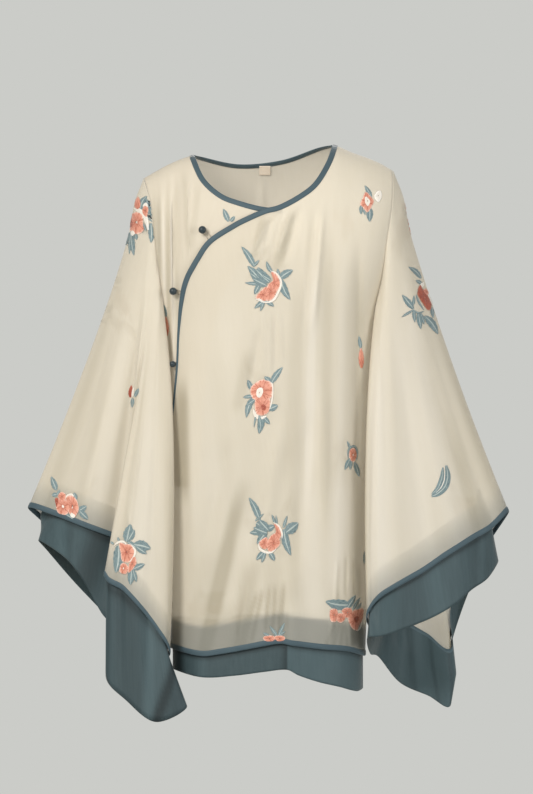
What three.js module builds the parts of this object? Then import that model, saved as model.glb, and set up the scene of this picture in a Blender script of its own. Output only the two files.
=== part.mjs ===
// A short hanfu robe, worn and hollow: round neck, slanted side opening with ball
// buttons, wide hanging sleeves, bound edges and a darker border under every hem.
// Millimetres, +Z up. The front faces -Y, so the wearer's right side is at -X.
// The origin is the middle of the neck at the height of the shoulders.
import * as THREE from 'three';

// ---- Driving sizes ----
const CLOTH = 1.4; // wall of the robe's cloth
const EDGE_THICK = 2.4; // bias binding folded round an edge
const EDGE_WIDTH = 8; // binding seen from the front
const SEAM = 0.3; // gap between two neighbouring pieces
const UNDERLAP = 4.5; // the under front lies this far behind the front panel
const BORDER_IN = 3.5; // the border hangs this far inside the robe's cloth
const BORDER_TOP = 45; // it starts this far above the robe's hem
const HALF_DEPTH = 108; // body, from the middle plane to the chest
const SHOULDER_FALL = 170; // height over which the shoulder rounds into the chest
const ROUNDNESS = 2.4; // power of the body's rounded cross-section
const UNDERARM = -262; // height of the underarm point
const UNDER_END = -505; // lower end of the under front
const CUFF_SEAM = 1.8; // the same gap along the sleeve, where a hem runs at a slant
const ARM_CLEAR = 2.2; // the sleeve starts this far outside the armhole

const FRONT = -1;
const BACK = 1;

const SILK = new THREE.Color('#e2d9c6');
const TEAL = new THREE.Color('#4d626a');
const BIAS = new THREE.Color('#5a6e78');
const DARK = new THREE.Color('#2f3a3d');
const LABEL = new THREE.Color('#f0e2d4');

// ---- Curves ----

// A smooth line y(x) through a few knots, given from the smallest x to the largest.
function profile(knots) {
  const last = knots.length - 1;
  const slope = (i) => {
    const a = knots[Math.max(i - 1, 0)];
    const b = knots[Math.min(i + 1, last)];
    return (b[1] - a[1]) / (b[0] - a[0]);
  };
  return (x) => {
    const held = Math.min(Math.max(x, knots[0][0]), knots[last][0]);
    let i = 0;
    while (i < last - 1 && held > knots[i + 1][0]) {
      i += 1;
    }
    const width = knots[i + 1][0] - knots[i][0];
    const t = (held - knots[i][0]) / width;
    const rise = t * t * (3 - 2 * t);
    const leave = t * (1 - t) * (1 - t);
    const arrive = t * t * (t - 1);
    return knots[i][1] * (1 - rise) + knots[i + 1][1] * rise
      + width * (leave * slope(i) + arrive * slope(i + 1));
  };
}

const spot = (x, z) => ({ x, z });
const mix = (a, b, t) => a + (b - a) * t;
const mixSpot = (a, b, t) => spot(mix(a.x, b.x, t), mix(a.z, b.z, t));

// Spots on a smooth route through [x, z] pairs, at even steps of its length or at given shares.
function along(pairs, steps, shareOf = (t) => t) {
  const route = new THREE.CatmullRomCurve3(pairs.map(([x, z]) => new THREE.Vector3(x, 0, z)));
  route.curveType = 'catmullrom';
  return Array.from({ length: steps + 1 }, (_, i) => {
    const { x, z } = route.getPointAt(shareOf(i / steps));
    return spot(x, z);
  });
}

// ---- The body's form ----
const shoulderLine = profile([
  [-216, -60], [-186, -42], [-144, -19], [-111, -7.5], [0, 14],
  [97.5, 7.5], [128, -4], [165, -18], [188, -31], [216, -48],
]);
const halfWidth = profile([
  [-830, 146], [-750, 147], [-560, 156], [-400, 163], [-330, 165], [UNDERARM, 166],
  [-230, 172], [-200, 182], [-150, 196], [-80, 210], [40, 216],
]);
const armholeRight = profile([
  [UNDERARM, -166], [-240, -157], [-200, -161], [-150, -168], [-80, -176], [-42, -186],
]);
const armholeLeft = profile([
  [UNDERARM, 166], [-240, 161], [-193, 171], [-135, 179], [-79, 187], [-31, 188],
]);
const ARM_TOP_RIGHT = spot(-186, shoulderLine(-186));
const ARM_TOP_LEFT = spot(188, shoulderLine(188));

// Long soft folds: x at the top and bottom, the stretch of z, width and height.
const FRONT_FOLDS = [
  { top: -152, foot: -146, from: -50, to: -290, wide: 12, high: 5 },
  { top: 79, foot: 58, from: -80, to: -300, wide: 16, high: 4 },
  { top: 112, foot: 104, from: -90, to: -700, wide: 15, high: 5 },
  { top: -20, foot: -95, from: -480, to: -800, wide: 28, high: -8 },
  { top: 34, foot: 31, from: -600, to: -820, wide: 18, high: 6 },
  { top: -62, foot: -40, from: -250, to: -560, wide: 22, high: 4 },
];
const BACK_FOLDS = [
  { top: -120, foot: -100, from: -90, to: -700, wide: 20, high: 6 },
  { top: 118, foot: 96, from: -90, to: -700, wide: 20, high: 6 },
  { top: -30, foot: -44, from: -300, to: -820, wide: 26, high: 7 },
  { top: 26, foot: 48, from: -260, to: -820, wide: 24, high: -7 },
];

function foldHeight(folds, x, z) {
  let sum = 0;
  for (const fold of folds) {
    const t = (z - fold.from) / (fold.to - fold.from);
    if (t > 0 && t < 1) {
      const off = (x - mix(fold.top, fold.foot, t)) / fold.wide;
      sum += fold.high * Math.exp(-off * off) * Math.min(1, 4 * t, 4 * (1 - t));
    }
  }
  return sum;
}

// Distance of the cloth from the middle plane.
function depth(face, x, z) {
  const fall = Math.min(Math.max(shoulderLine(x) - z, 0) / SHOULDER_FALL, 1);
  const roof = Math.sqrt(1 - (1 - fall) ** 2);
  const across = Math.min(Math.abs(x) / halfWidth(z), 1);
  const round = (1 - across ** ROUNDNESS) ** (1 / ROUNDNESS);
  const folds = foldHeight(face === FRONT ? FRONT_FOLDS : BACK_FOLDS, x, z);
  return (HALF_DEPTH + folds) * roof * round;
}

// A point of a body panel's middle surface with the direction out of the cloth.
function onBody(face, { x, z }, lift = 0) {
  const slopeX = (depth(face, x + 1, z) - depth(face, x - 1, z)) / 2;
  const slopeZ = (depth(face, x, z + 1) - depth(face, x, z - 1)) / 2;
  const out = new THREE.Vector3(-slopeX, face, -slopeZ).normalize();
  const point = new THREE.Vector3(x, face * (depth(face, x, z) + SEAM), z);
  return { point: point.addScaledVector(out, lift), out };
}

// Moves spots sideways over the cloth; way is 1 or -1 for the two sides of the line.
function inset(face, spots, width, way) {
  return spots.map((here, j) => {
    const before = onBody(face, spots[Math.max(j - 1, 0)]).point;
    const after = onBody(face, spots[Math.min(j + 1, spots.length - 1)]).point;
    const side = onBody(face, here).out.cross(after.sub(before)).normalize();
    const x = here.x + way * width * side.x;
    const z = here.z + way * width * side.z;
    const atSeam = Math.abs(here.z - shoulderLine(here.x)) < SEAM;
    return spot(x, atSeam ? shoulderLine(x) : Math.min(z, shoulderLine(x)));
  });
}

// ---- Solids ----

// A sheet of cloth: a grid of points with directions, made into a closed wall.
function sheetSolid(grid, thick, ring = false) {
  const rows = grid.length;
  const cols = grid[0].length;
  const positions = [];
  for (const side of [0.5, -0.5]) {
    for (const { point, out } of grid.flat()) {
      positions.push(...point.clone().addScaledVector(out, side * thick).toArray());
    }
  }
  const faces = [];
  const outer = (i, j) => i * cols + (j % cols);
  const inner = (i, j) => rows * cols + outer(i, j);
  const quad = (a, b, c, d) => faces.push(a, b, c, a, c, d);
  const steps = ring ? cols : cols - 1;
  const end = rows - 1;
  for (let j = 0; j < steps; j += 1) {
    for (let i = 0; i < end; i += 1) {
      quad(outer(i, j), outer(i, j + 1), outer(i + 1, j + 1), outer(i + 1, j));
      quad(inner(i, j), inner(i + 1, j), inner(i + 1, j + 1), inner(i, j + 1));
    }
    quad(outer(0, j + 1), outer(0, j), inner(0, j), inner(0, j + 1));
    quad(outer(end, j), outer(end, j + 1), inner(end, j + 1), inner(end, j));
  }
  for (let i = 0; i < end && !ring; i += 1) {
    quad(outer(i, 0), outer(i + 1, 0), inner(i + 1, 0), inner(i, 0));
    quad(outer(i + 1, steps), outer(i, steps), inner(i, steps), inner(i + 1, steps));
  }
  const geometry = new THREE.BufferGeometry();
  geometry.setAttribute('position', new THREE.Float32BufferAttribute(positions, 3));
  geometry.setIndex(volume(positions, faces) < 0 ? faces.reverse() : faces);
  geometry.computeVertexNormals();
  return geometry;
}

function volume(positions, faces) {
  const corner = (index) => new THREE.Vector3().fromArray(positions, 3 * index);
  let sum = 0;
  for (let i = 0; i < faces.length; i += 3) {
    sum += corner(faces[i]).dot(corner(faces[i + 1]).cross(corner(faces[i + 2])));
  }
  return sum;
}

// Directions out of a grid of plain points; toward tells which side is out at its first point.
function dressed(points, ring, toward) {
  const rows = points.length;
  const cols = points[0].length;
  const column = (j) => (ring ? (j + cols) % cols : Math.min(Math.max(j, 0), cols - 1));
  const grid = points.map((row, i) => row.map((point, j) => {
    const down = points[Math.min(i + 1, rows - 1)][j].clone().sub(points[Math.max(i - 1, 0)][j]);
    const round = row[column(j + 1)].clone().sub(row[column(j - 1)]);
    return { point, out: round.cross(down).normalize() };
  }));
  if (grid[0][0].out.dot(toward) < 0) {
    grid.flat().forEach(({ out }) => out.negate());
  }
  return grid;
}

const robe = new THREE.Group();

function sew(name, geometry, color, roughness = 0.8) {
  const cloth = new THREE.MeshStandardMaterial({ color, roughness, metalness: 0 });
  const mesh = new THREE.Mesh(geometry, cloth);
  mesh.name = name;
  robe.add(mesh);
  return mesh;
}

// A panel between four edges given in spots: top and foot share a count, so do left and right.
function panel(face, top, foot, left, right, lift = () => 0) {
  const cols = top.length - 1;
  const span = (spots, t) => {
    const whole = spots[spots.length - 1].z - spots[0].z;
    return (spots[t].z - spots[0].z) / whole;
  };
  return left.map((l, i) => top.map((t, j) => {
    const v = span(left, i);
    const u = j / cols;
    const down = mixSpot(t, foot[j], v);
    const over = mixSpot(l, right[i], u);
    const flat = mixSpot(mixSpot(top[0], top[cols], u), mixSpot(foot[0], foot[cols], u), v);
    const x = down.x + over.x - flat.x;
    const z = Math.min(down.z + over.z - flat.z, shoulderLine(x));
    return onBody(face, spot(x, z), lift(spot(x, z)));
  }));
}

// A ribbon between two lines of spots.
function ribbon(face, outerLine, innerLine, lift = 0) {
  return [outerLine, innerLine].map((line) => line.map((here) => onBody(face, here, lift)));
}

// Heights from top to foot, closer together near the shoulder where the cloth rounds over.
const closer = (t) => t ** 1.6;
function heights(top, foot, rows) {
  return Array.from({ length: rows + 1 }, (_, i) => mix(top, foot, closer(i / rows)));
}

// The under front lies behind the front panel but comes out to the armhole seam beside it.
const clamp = (t) => Math.min(Math.max(t, 0), 1);
function underLift({ x, z }) {
  const outwards = clamp((-140 - x) / 25) * clamp((z + 330) / 80);
  return UNDERLAP * (outwards - 1);
}

// ---- Edges of the robe, in the front view ----
const OPENING = [
  [-160, -472], [-152, -440], [-145, -402], [-140.5, -362], [-137, -322], [-135, -270], [-132, -225],
  [-125, -193], [-108, -161], [-89, -134.5], [-55, -112], [-32, -100], [-5, -88.5],
  [16, -83], [43, -69], [68, -50], [87, -20], [97.5, 7.5],
];
const UNDER_NECK = [
  [-111, -7.5], [-95, -41], [-70, -64], [-43, -75], [-9, -84], [22, -87],
];
const BACK_NECK = [
  [-111, -7.5], [-100, -10], [-43, -21], [20, -15], [74, 3], [97.5, 7.5],
];
const UNDER_EDGE = [
  [22, -96], [-30, -150], [-72, -230], [-92, -330], [-104, UNDER_END],
];
const hemFront = profile([
  [-146, -749], [-100, -758], [-69, -754], [-37, -748], [-6, -742], [19.5, -738],
  [36, -741], [78, -747], [121, -752], [146, -761],
]);
const hemBack = profile([
  [-146, -749], [-90, -757], [-20, -750], [60, -757], [146, -761],
]);
const borderFootFront = profile([
  [-146, -781], [-100, -790], [-48, -786.5], [-6, -781], [29, -778], [47, -786.5],
  [78, -797], [110, -805], [137, -813], [146, -811],
]);
const borderFootBack = profile([
  [-146, -781], [-60, -795], [20, -787], [90, -799], [146, -811],
]);

const OPENING_STEPS = 20;
const SHOULDER_STEPS = 3;
const UNDER_NECK_STEPS = 6;
const BACK_NECK_STEPS = 10;
const FRONT_ROWS = 16;
const UNDER_ROWS = 10;
const BACK_ROWS = 14;

// Spots on the shoulder seam from one x to another.
function shoulderSeam(from, to) {
  return Array.from({ length: SHOULDER_STEPS + 1 }, (_, i) => {
    const x = mix(from, to, i / SHOULDER_STEPS);
    return spot(x, shoulderLine(x));
  });
}

// Hem spots from side to side, closer together where the body turns to its sides.
function hemSpots(hem, steps, rise) {
  return Array.from({ length: steps + 1 }, (_, j) => {
    const across = -Math.cos((Math.PI * j) / steps);
    const x = across * halfWidth(-750);
    return spot(x, hem(x) + rise);
  });
}

// The body's side: armhole above the underarm, side seam below it.
function bodySide(armhole, way, top, foot, rows) {
  return heights(top, foot, rows).map((z) => {
    return spot(z > UNDERARM ? armhole(z) : way * halfWidth(z), z);
  });
}

const edgeInside = EDGE_WIDTH + SEAM;

// ---- Front panel with its slanted edge ----
const openingEdge = along(OPENING, OPENING_STEPS);
const openingSeam = inset(FRONT, openingEdge, EDGE_WIDTH, -1);
const frontTop = inset(FRONT, openingEdge, edgeInside, -1);
frontTop.push(...shoulderSeam(frontTop[OPENING_STEPS].x, ARM_TOP_LEFT.x).slice(1));
const frontCols = frontTop.length - 1;
const frontFoot = hemSpots(hemFront, frontCols, edgeInside);
const frontLeft = heights(frontTop[0].z, frontFoot[0].z, FRONT_ROWS).map((z) => {
  const turn = Math.min((frontTop[0].z - z) / 40, 1);
  return spot(mix(frontTop[0].x, -halfWidth(z), turn), z);
});
const frontRight = bodySide(armholeLeft, 1, ARM_TOP_LEFT.z, frontFoot[frontCols].z, FRONT_ROWS);
const frontGrid = panel(FRONT, frontTop, frontFoot, frontLeft, frontRight);
sew('front_panel', sheetSolid(frontGrid, CLOTH), SILK);
sew('binding_opening', sheetSolid(ribbon(FRONT, openingEdge, openingSeam), EDGE_THICK), BIAS);

// ---- Under front, seen beyond the opening ----
const underEdge = along(UNDER_NECK, UNDER_NECK_STEPS);
const underSeam = inset(FRONT, underEdge, EDGE_WIDTH, -1);
const underNeck = inset(FRONT, underEdge, edgeInside, -1);
const underTop = [
  ...shoulderSeam(ARM_TOP_RIGHT.x, underNeck[0].x).slice(0, -1), ...underNeck,
];
const underCols = underTop.length - 1;
const underFoot = Array.from({ length: underCols + 1 }, (_, j) => {
  return spot(mix(-halfWidth(UNDER_END), UNDER_EDGE.at(-1)[0], j / underCols), UNDER_END);
});
const underLeft = bodySide(armholeRight, -1, ARM_TOP_RIGHT.z, UNDER_END, UNDER_ROWS);
const underRight = along(
  [[underTop[underCols].x, underTop[underCols].z], ...UNDER_EDGE.slice(1)], UNDER_ROWS, closer,
);
const underGrid = panel(FRONT, underTop, underFoot, underLeft, underRight, underLift);
sew('under_front', sheetSolid(underGrid, CLOTH), SILK);
const underRibbon = ribbon(FRONT, underEdge, underSeam, -UNDERLAP - 0.6);
sew('binding_under_neck', sheetSolid(underRibbon, EDGE_THICK), BIAS);

// ---- Back panel ----
const backEdge = along(BACK_NECK, BACK_NECK_STEPS);
const backSeam = inset(BACK, backEdge, EDGE_WIDTH, 1);
const backNeck = inset(BACK, backEdge, edgeInside, 1);
const backTop = [
  ...shoulderSeam(ARM_TOP_RIGHT.x, backNeck[0].x).slice(0, -1), ...backNeck,
  ...shoulderSeam(backNeck[BACK_NECK_STEPS].x, ARM_TOP_LEFT.x).slice(1),
];
const backCols = backTop.length - 1;
const backFoot = hemSpots(hemBack, backCols, edgeInside);
const backLeft = bodySide(armholeRight, -1, ARM_TOP_RIGHT.z, backFoot[0].z, BACK_ROWS);
const backRight = bodySide(armholeLeft, 1, ARM_TOP_LEFT.z, backFoot[backCols].z, BACK_ROWS);
const backGrid = panel(BACK, backTop, backFoot, backLeft, backRight);
sew('back_panel', sheetSolid(backGrid, CLOTH), SILK);
sew('binding_back_neck', sheetSolid(ribbon(BACK, backEdge, backSeam), EDGE_THICK), BIAS);

// ---- Bound hems and the borders under them ----
// A border's upper rows are taken from the panel's own rows, moved inward.
function hemOf(face, grid, hem, borderFoot, word) {
  const cols = grid[0].length - 1;
  const edge = hemSpots(hem, cols, 0);
  const seam = hemSpots(hem, cols, EDGE_WIDTH);
  sew(`binding_hem_${word}`, sheetSolid(ribbon(face, edge, seam), EDGE_THICK), BIAS);
  const keep = ({ point, out }) => {
    const held = point.clone();
    held.y = face * Math.max(face * point.y, 1);
    return { point: held, out };
  };
  const inward = ({ point, out }) => keep({
    point: point.clone().addScaledVector(out, -BORDER_IN), out,
  });
  const lowest = grid.at(-1);
  const raised = grid.at(-2).map(({ point, out }, j) => {
    const gap = point.distanceTo(lowest[j].point);
    const share = (BORDER_TOP - edgeInside) / gap;
    return inward({
      point: lowest[j].point.clone().lerp(point, share),
      out: lowest[j].out.clone().lerp(out, share).normalize(),
    });
  });
  const hanging = [0, 0.5, 1].map((share) => edge.map(({ x, z }) => {
    return keep(onBody(face, spot(x, mix(z, borderFoot(x), share)), -BORDER_IN));
  }));
  sew(`border_${word}`, sheetSolid([raised, lowest.map(inward), ...hanging], CLOTH), TEAL, 0.6);
}
hemOf(FRONT, frontGrid, hemFront, borderFootFront, 'front');
hemOf(BACK, backGrid, hemBack, borderFootBack, 'back');

// ---- Sleeves ----
// Each sleeve runs through three closed loops: the armhole, a middle loop and the
// outer hem. A fourth loop is the foot of its border. All start at the upper fold,
// go down the front to the fold at the body, and come back up behind.
const SLEEVE_ROWS = 9;
const STEPS_PER_POINT = 3;

const RIGHT_SLEEVE = {
  word: 'right',
  way: -1,
  armhole: armholeRight,
  armTop: ARM_TOP_RIGHT,
  frontShares: [0, 0.08, 0.16, 0.25, 0.35, 0.47, 0.6, 0.75, 0.92, 1],
  backShares: [0.9, 0.72, 0.52, 0.3, 0.12],
  middle: [
    [-255, 0, -270], [-238, -34, -285], [-218, -54, -300], [-204, -62, -318],
    [-196, -68, -335], [-191, -76, -352], [-180, -84, -375], [-163, -90, -405],
    [-141, -84, -445], [-172, -42, -470], [-176, 34, -470], [-186, 70, -430],
    [-206, 72, -380], [-232, 56, -320], [-250, 28, -282],
  ],
  hem: [
    [-360, 0, -538], [-313, -36, -552], [-268, -50, -569], [-230, -52, -584],
    [-212, -60, -602], [-242, -84, -641], [-214, -96, -662], [-176, -100, -705],
    [-147, -90, -752], [-161, -34, -764], [-168, 40, -752], [-194, 84, -700],
    [-242, 84, -650], [-300, 60, -598], [-346, 26, -556],
  ],
  borderFoot: [
    [-345, 0, -588], [-306, -34, -612], [-280, -46, -643], [-250, -50, -695],
    [-224, -58, -730], [-243, -84, -788], [-212, -97, -824], [-168, -102, -856],
    [-121, -92, -834], [-156, -30, -818], [-164, 40, -812], [-190, 86, -770],
    [-238, 88, -714], [-292, 62, -655], [-332, 26, -606],
  ],
};
const LEFT_SLEEVE = {
  word: 'left',
  way: 1,
  armhole: armholeLeft,
  armTop: ARM_TOP_LEFT,
  frontShares: [0, 0.1, 0.2, 0.31, 0.43, 0.57, 0.72, 0.9, 1],
  backShares: [0.88, 0.74, 0.6, 0.45, 0.3, 0.14],
  middle: [
    [262, 0, -275], [246, -36, -292], [232, -54, -306], [214, -68, -325],
    [198, -78, -345], [180, -86, -370], [163, -92, -400], [147, -88, -440],
    [174, -36, -470], [176, 30, -478], [190, 66, -468], [212, 76, -452],
    [232, 80, -428], [242, 74, -380], [258, 40, -312],
  ],
  hem: [
    [363, 0, -546], [335, -40, -570], [306, -60, -586], [268, -78, -609],
    [234, -88, -632], [192, -97, -655], [163, -98, -675], [148, -88, -702],
    [160, -35, -728], [170, 30, -742], [202, 62, -754], [246, 62, -776],
    [281, 60, -798], [278, 112, -728], [318, 88, -625],
  ],
  borderFoot: [
    [347, 0, -618], [331, -40, -643], [306, -58, -660], [281, -74, -681],
    [243, -86, -702], [190, -96, -722], [166, -97, -728], [149, -90, -731],
    [154, -35, -757], [168, 30, -766], [200, 62, -806], [243, 62, -826],
    [277, 62, -841], [274, 112, -772], [314, 88, -650],
  ],
};

const loopOf = (points) => new THREE.CatmullRomCurve3(
  points.map((p) => new THREE.Vector3(...p)), true, 'catmullrom', 0.5,
);

function armholeLoop({ way, armhole, armTop, frontShares, backShares }) {
  const pointAt = (face, share) => {
    const z = mix(armTop.z, UNDERARM, share);
    const x = share > 0 ? armhole(z) : armTop.x;
    return [x + way * ARM_CLEAR, face * depth(face, x, z), z];
  };
  return loopOf([
    ...frontShares.map((share) => pointAt(FRONT, share)),
    ...backShares.map((share) => pointAt(BACK, share)),
  ]);
}

function makeSleeve(cut) {
  const start = armholeLoop(cut);
  const middle = loopOf(cut.middle);
  const hem = loopOf(cut.hem);
  const borderFoot = loopOf(cut.borderFoot);
  const cols = cut.hem.length * STEPS_PER_POINT;

  const surface = (u, v) => new THREE.Vector3()
    .addScaledVector(start.getPoint(u), (1 - v) * (1 - 2 * v))
    .addScaledVector(middle.getPoint(u), 4 * v * (1 - v))
    .addScaledVector(hem.getPoint(u), v * (2 * v - 1));
  const step = 0.002;
  const wrap = (u) => (u + 1) % 1;
  const onSleeve = (u, v, lift = 0) => {
    const round = surface(wrap(u + step), v).sub(surface(wrap(u - step), v));
    const down = surface(u, v + step).sub(surface(u, v - step));
    const out = round.cross(down).normalize().multiplyScalar(cut.way);
    return { point: surface(u, v).addScaledVector(out, lift), out };
  };
  const perLength = (u) => step / surface(u, 1).distanceTo(surface(u, 1 - step));
  const ring = (place) => Array.from({ length: cols }, (_, j) => place(j / cols));

  const wall = Array.from({ length: SLEEVE_ROWS + 1 }, (_, i) => ring((u) => {
    return onSleeve(u, (1 - edgeInside * perLength(u)) * (i / SLEEVE_ROWS));
  }));
  sew(`sleeve_${cut.word}`, sheetSolid(wall, CLOTH, true), SILK);

  const lip = ring((u) => onSleeve(u, 1));
  const bound = wall.at(-1).map(({ point, out }, j) => {
    return { point: point.clone().lerp(lip[j].point, CUFF_SEAM / edgeInside), out };
  });
  const binding = [bound, lip];
  sew(`binding_cuff_${cut.word}`, sheetSolid(binding, EDGE_THICK, true), BIAS);

  const hang = (share) => ring((u) => {
    return onSleeve(u, 1, -BORDER_IN).point.lerp(borderFoot.getPoint(u), share);
  });
  const above = ring((u) => onSleeve(u, 1 - BORDER_TOP * perLength(u), -BORDER_IN).point);
  const rows = [above, hang(0), hang(0.5), hang(1)];
  const border = dressed(rows, true, onSleeve(0, 1).out);
  sew(`border_sleeve_${cut.word}`, sheetSolid(border, CLOTH, true), TEAL, 0.6);
}
makeSleeve(RIGHT_SLEEVE);
makeSleeve(LEFT_SLEEVE);

// ---- Ball buttons on the under front, with the loops of the front panel ----
const BUTTONS = [
  { at: spot(-97.5, -120), radius: 5.6, edge: spot(-86.5, -133) },
  { at: spot(-141, -211.5), radius: 5.5, edge: spot(-131.5, -215) },
  { at: spot(-141.5, -321), radius: 4.6, edge: spot(-136.5, -322) },
];
const BUTTON_CLEAR = 0.8; // the under front is faceted, so its trim stands a little off it
const SHANK = 2.2;
const SHANK_RADIUS = 1.6;
const LOOP_RADIUS = 2.9;
const CORD = 0.9;

function ballButton(radius) {
  const profilePoints = [new THREE.Vector2(0, 0), new THREE.Vector2(SHANK_RADIUS, 0)];
  const start = Math.asin(SHANK_RADIUS / radius);
  const arcs = 8;
  for (let i = 0; i <= arcs; i += 1) {
    const angle = mix(start, Math.PI, i / arcs);
    const x = i === arcs ? 0 : radius * Math.sin(angle);
    profilePoints.push(new THREE.Vector2(x, SHANK + radius * (1 - Math.cos(angle))));
  }
  return new THREE.LatheGeometry(profilePoints, 12);
}

// A cord round the shank, open towards the bound edge; reach is the length of its legs.
function cordLoop(reach) {
  const turn = Array.from({ length: 9 }, (_, i) => {
    const angle = Math.PI * (0.5 + i / 8);
    return new THREE.Vector3(LOOP_RADIUS * Math.cos(angle), 0, LOOP_RADIUS * Math.sin(angle));
  });
  const route = new THREE.CatmullRomCurve3([
    new THREE.Vector3(reach, 0, LOOP_RADIUS), ...turn, new THREE.Vector3(reach, 0, -LOOP_RADIUS),
  ]);
  const section = new THREE.Shape().absarc(0, 0, CORD, 0, 2 * Math.PI);
  return new THREE.ExtrudeGeometry(section, {
    steps: 16, bevelEnabled: false, curveSegments: 4, extrudePath: route,
  });
}

BUTTONS.forEach(({ at, radius, edge }, index) => {
  const lean = onBody(FRONT, at).out.multiplyScalar(SHANK + radius - UNDERLAP);
  const foot = spot(at.x - lean.x, at.z - lean.z);
  const { point, out } = onBody(FRONT, foot, -UNDERLAP);
  const number = index + 1;
  const ball = sew(`button_${number}`, ballButton(radius), DARK, 0.35);
  ball.position.copy(point).addScaledVector(out, CLOTH / 2 + BUTTON_CLEAR);
  ball.quaternion.setFromUnitVectors(new THREE.Vector3(0, 1, 0), out);

  const toEdge = onBody(FRONT, edge, -UNDERLAP).point.sub(point);
  const reach = Math.max(toEdge.length() - 1.5, CORD);
  const aside = toEdge.addScaledVector(out, -toEdge.dot(out)).normalize();
  const loop = sew(`loop_${number}`, cordLoop(reach), DARK, 0.6);
  const across = new THREE.Vector3().crossVectors(aside, out);
  loop.quaternion.setFromRotationMatrix(new THREE.Matrix4().makeBasis(aside, out, across));
  loop.position.copy(point).addScaledVector(out, CLOTH / 2 + BUTTON_CLEAR + CORD + 0.2);
});

// ---- Blank label inside the back neck ----
const LABEL_THICK = 0.6;
const labelGrid = [-22, -29, -36].map((z) => [-13, -4.5, 4].map((x) => {
  return onBody(BACK, spot(x, z), -(CLOTH / 2 + 1.3));
}));
sew('neck_label', sheetSolid(labelGrid, LABEL_THICK), LABEL);

robe.updateMatrixWorld(true);
export default robe;
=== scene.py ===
# %% [markdown]
# # A short hanfu robe in sheer cream silk
# The robe is worn but empty: it keeps the form that the shoulders give it. The packed
# model is the frame, and every finer surface made here follows the same cut, so that a
# panel drawn with a hundred columns lies where the plain one with twenty lies.

import math

import bmesh
import bpy
import numpy as np
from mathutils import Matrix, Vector
from mathutils.bvhtree import BVHTree


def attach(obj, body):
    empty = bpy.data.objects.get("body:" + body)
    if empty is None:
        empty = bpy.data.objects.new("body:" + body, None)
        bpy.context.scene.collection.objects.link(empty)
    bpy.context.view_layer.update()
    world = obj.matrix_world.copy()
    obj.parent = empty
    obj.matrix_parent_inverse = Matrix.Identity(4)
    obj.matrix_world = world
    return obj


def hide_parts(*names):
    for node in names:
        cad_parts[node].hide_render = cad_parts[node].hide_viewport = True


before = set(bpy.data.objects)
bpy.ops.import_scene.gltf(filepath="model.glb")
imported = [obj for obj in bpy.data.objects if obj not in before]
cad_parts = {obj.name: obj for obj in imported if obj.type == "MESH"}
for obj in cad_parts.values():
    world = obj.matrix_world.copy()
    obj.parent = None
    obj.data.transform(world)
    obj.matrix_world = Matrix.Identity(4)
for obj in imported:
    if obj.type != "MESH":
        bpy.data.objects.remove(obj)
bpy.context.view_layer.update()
MM = 0.001

# %% [markdown]
# ## The cut
# A garment maker thinks in flat pieces and edges. Here the edges are a few points in the
# front view (x across, z up, in millimetres), and one formula says how far the cloth
# stands in front of or behind the middle plane. Both are the same as in the frame.

# %% Driving sizes, in millimetres
EDGE_WIDTH = 8.0
UNDERLAP = 4.5
BORDER_IN = 3.5
BORDER_TOP = 45.0
HALF_DEPTH = 108.0
SHOULDER_FALL = 170.0
ROUNDNESS = 2.4
UNDERARM = -262.0
UNDER_END = -505.0
FRONT, BACK = -1, 1


# %% Smooth lines through a few points
def profile(knots):
    """A smooth line y(x) through knots sorted by x; it takes arrays."""
    at, value = (np.array(part, float) for part in zip(*knots))
    low, high = np.maximum(np.arange(len(at)) - 1, 0), np.minimum(np.arange(len(at)) + 1, len(at) - 1)
    slope = (value[high] - value[low]) / (at[high] - at[low])

    def line(x):
        x = np.clip(x, at[0], at[-1])
        i = np.clip(np.searchsorted(at, x, side="left") - 1, 0, len(at) - 2)
        width = at[i + 1] - at[i]
        t = (x - at[i]) / width
        rise = t * t * (3 - 2 * t)
        bend = t * (1 - t) * ((1 - t) * slope[i] - t * slope[i + 1])
        return value[i] * (1 - rise) + value[i + 1] * rise + width * bend

    return line


def spline(points, t, closed=False):
    """A Catmull-Rom curve through points, at t from 0 to 1."""
    points = np.array(points, float)
    count = len(points) if closed else len(points) - 1
    if not closed:
        points = np.vstack([2 * points[0] - points[1], points, 2 * points[-1] - points[-2]])
    along = np.clip(np.asarray(t, float), 0, 1) * count
    i = np.minimum(along.astype(int), count - 1)
    s = (along - i)[:, None]
    pick = (lambda k: points[(i + k) % count]) if closed else (lambda k: points[i + k + 1])
    a, b, c, d = (pick(k) for k in (-1, 0, 1, 2))
    return 0.5 * (2 * b + (c - a) * s + (2 * a - 5 * b + 4 * c - d) * s**2 + (3 * b - a - 3 * c + d) * s**3)


def along(pairs, steps, share_of=lambda t: t):
    """Spots on a smooth route, at shares of its length."""
    fine = spline(pairs, np.linspace(0, 1, 1500))
    length = np.concatenate([[0], np.cumsum(np.linalg.norm(np.diff(fine, axis=0), axis=1))])
    wanted = share_of(np.linspace(0, 1, steps + 1)) * length[-1]
    return np.stack([np.interp(wanted, length, fine[:, k]) for k in range(2)], axis=1)


def smooth(t):
    """A soft step from 0 to 1."""
    t = np.clip(t, 0, 1)
    return t * t * (3 - 2 * t)


def bell(x, wide):
    return np.exp(-(x / wide) ** 2)


def unit(vectors):
    return vectors / np.linalg.norm(vectors, axis=-1, keepdims=True)


def all_round(count):
    """Angles that share out a full turn."""
    return np.linspace(0, 2 * math.pi, count + 1)[:-1]


# %% [markdown]
# ## The body's form
# The chest is a rounded box in section: flatter in front than an ellipse. It closes to
# nothing at the shoulder line and at the sides. Folds are soft ridges with a Gaussian
# section that run between two points; a negative height makes a trough.

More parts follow.
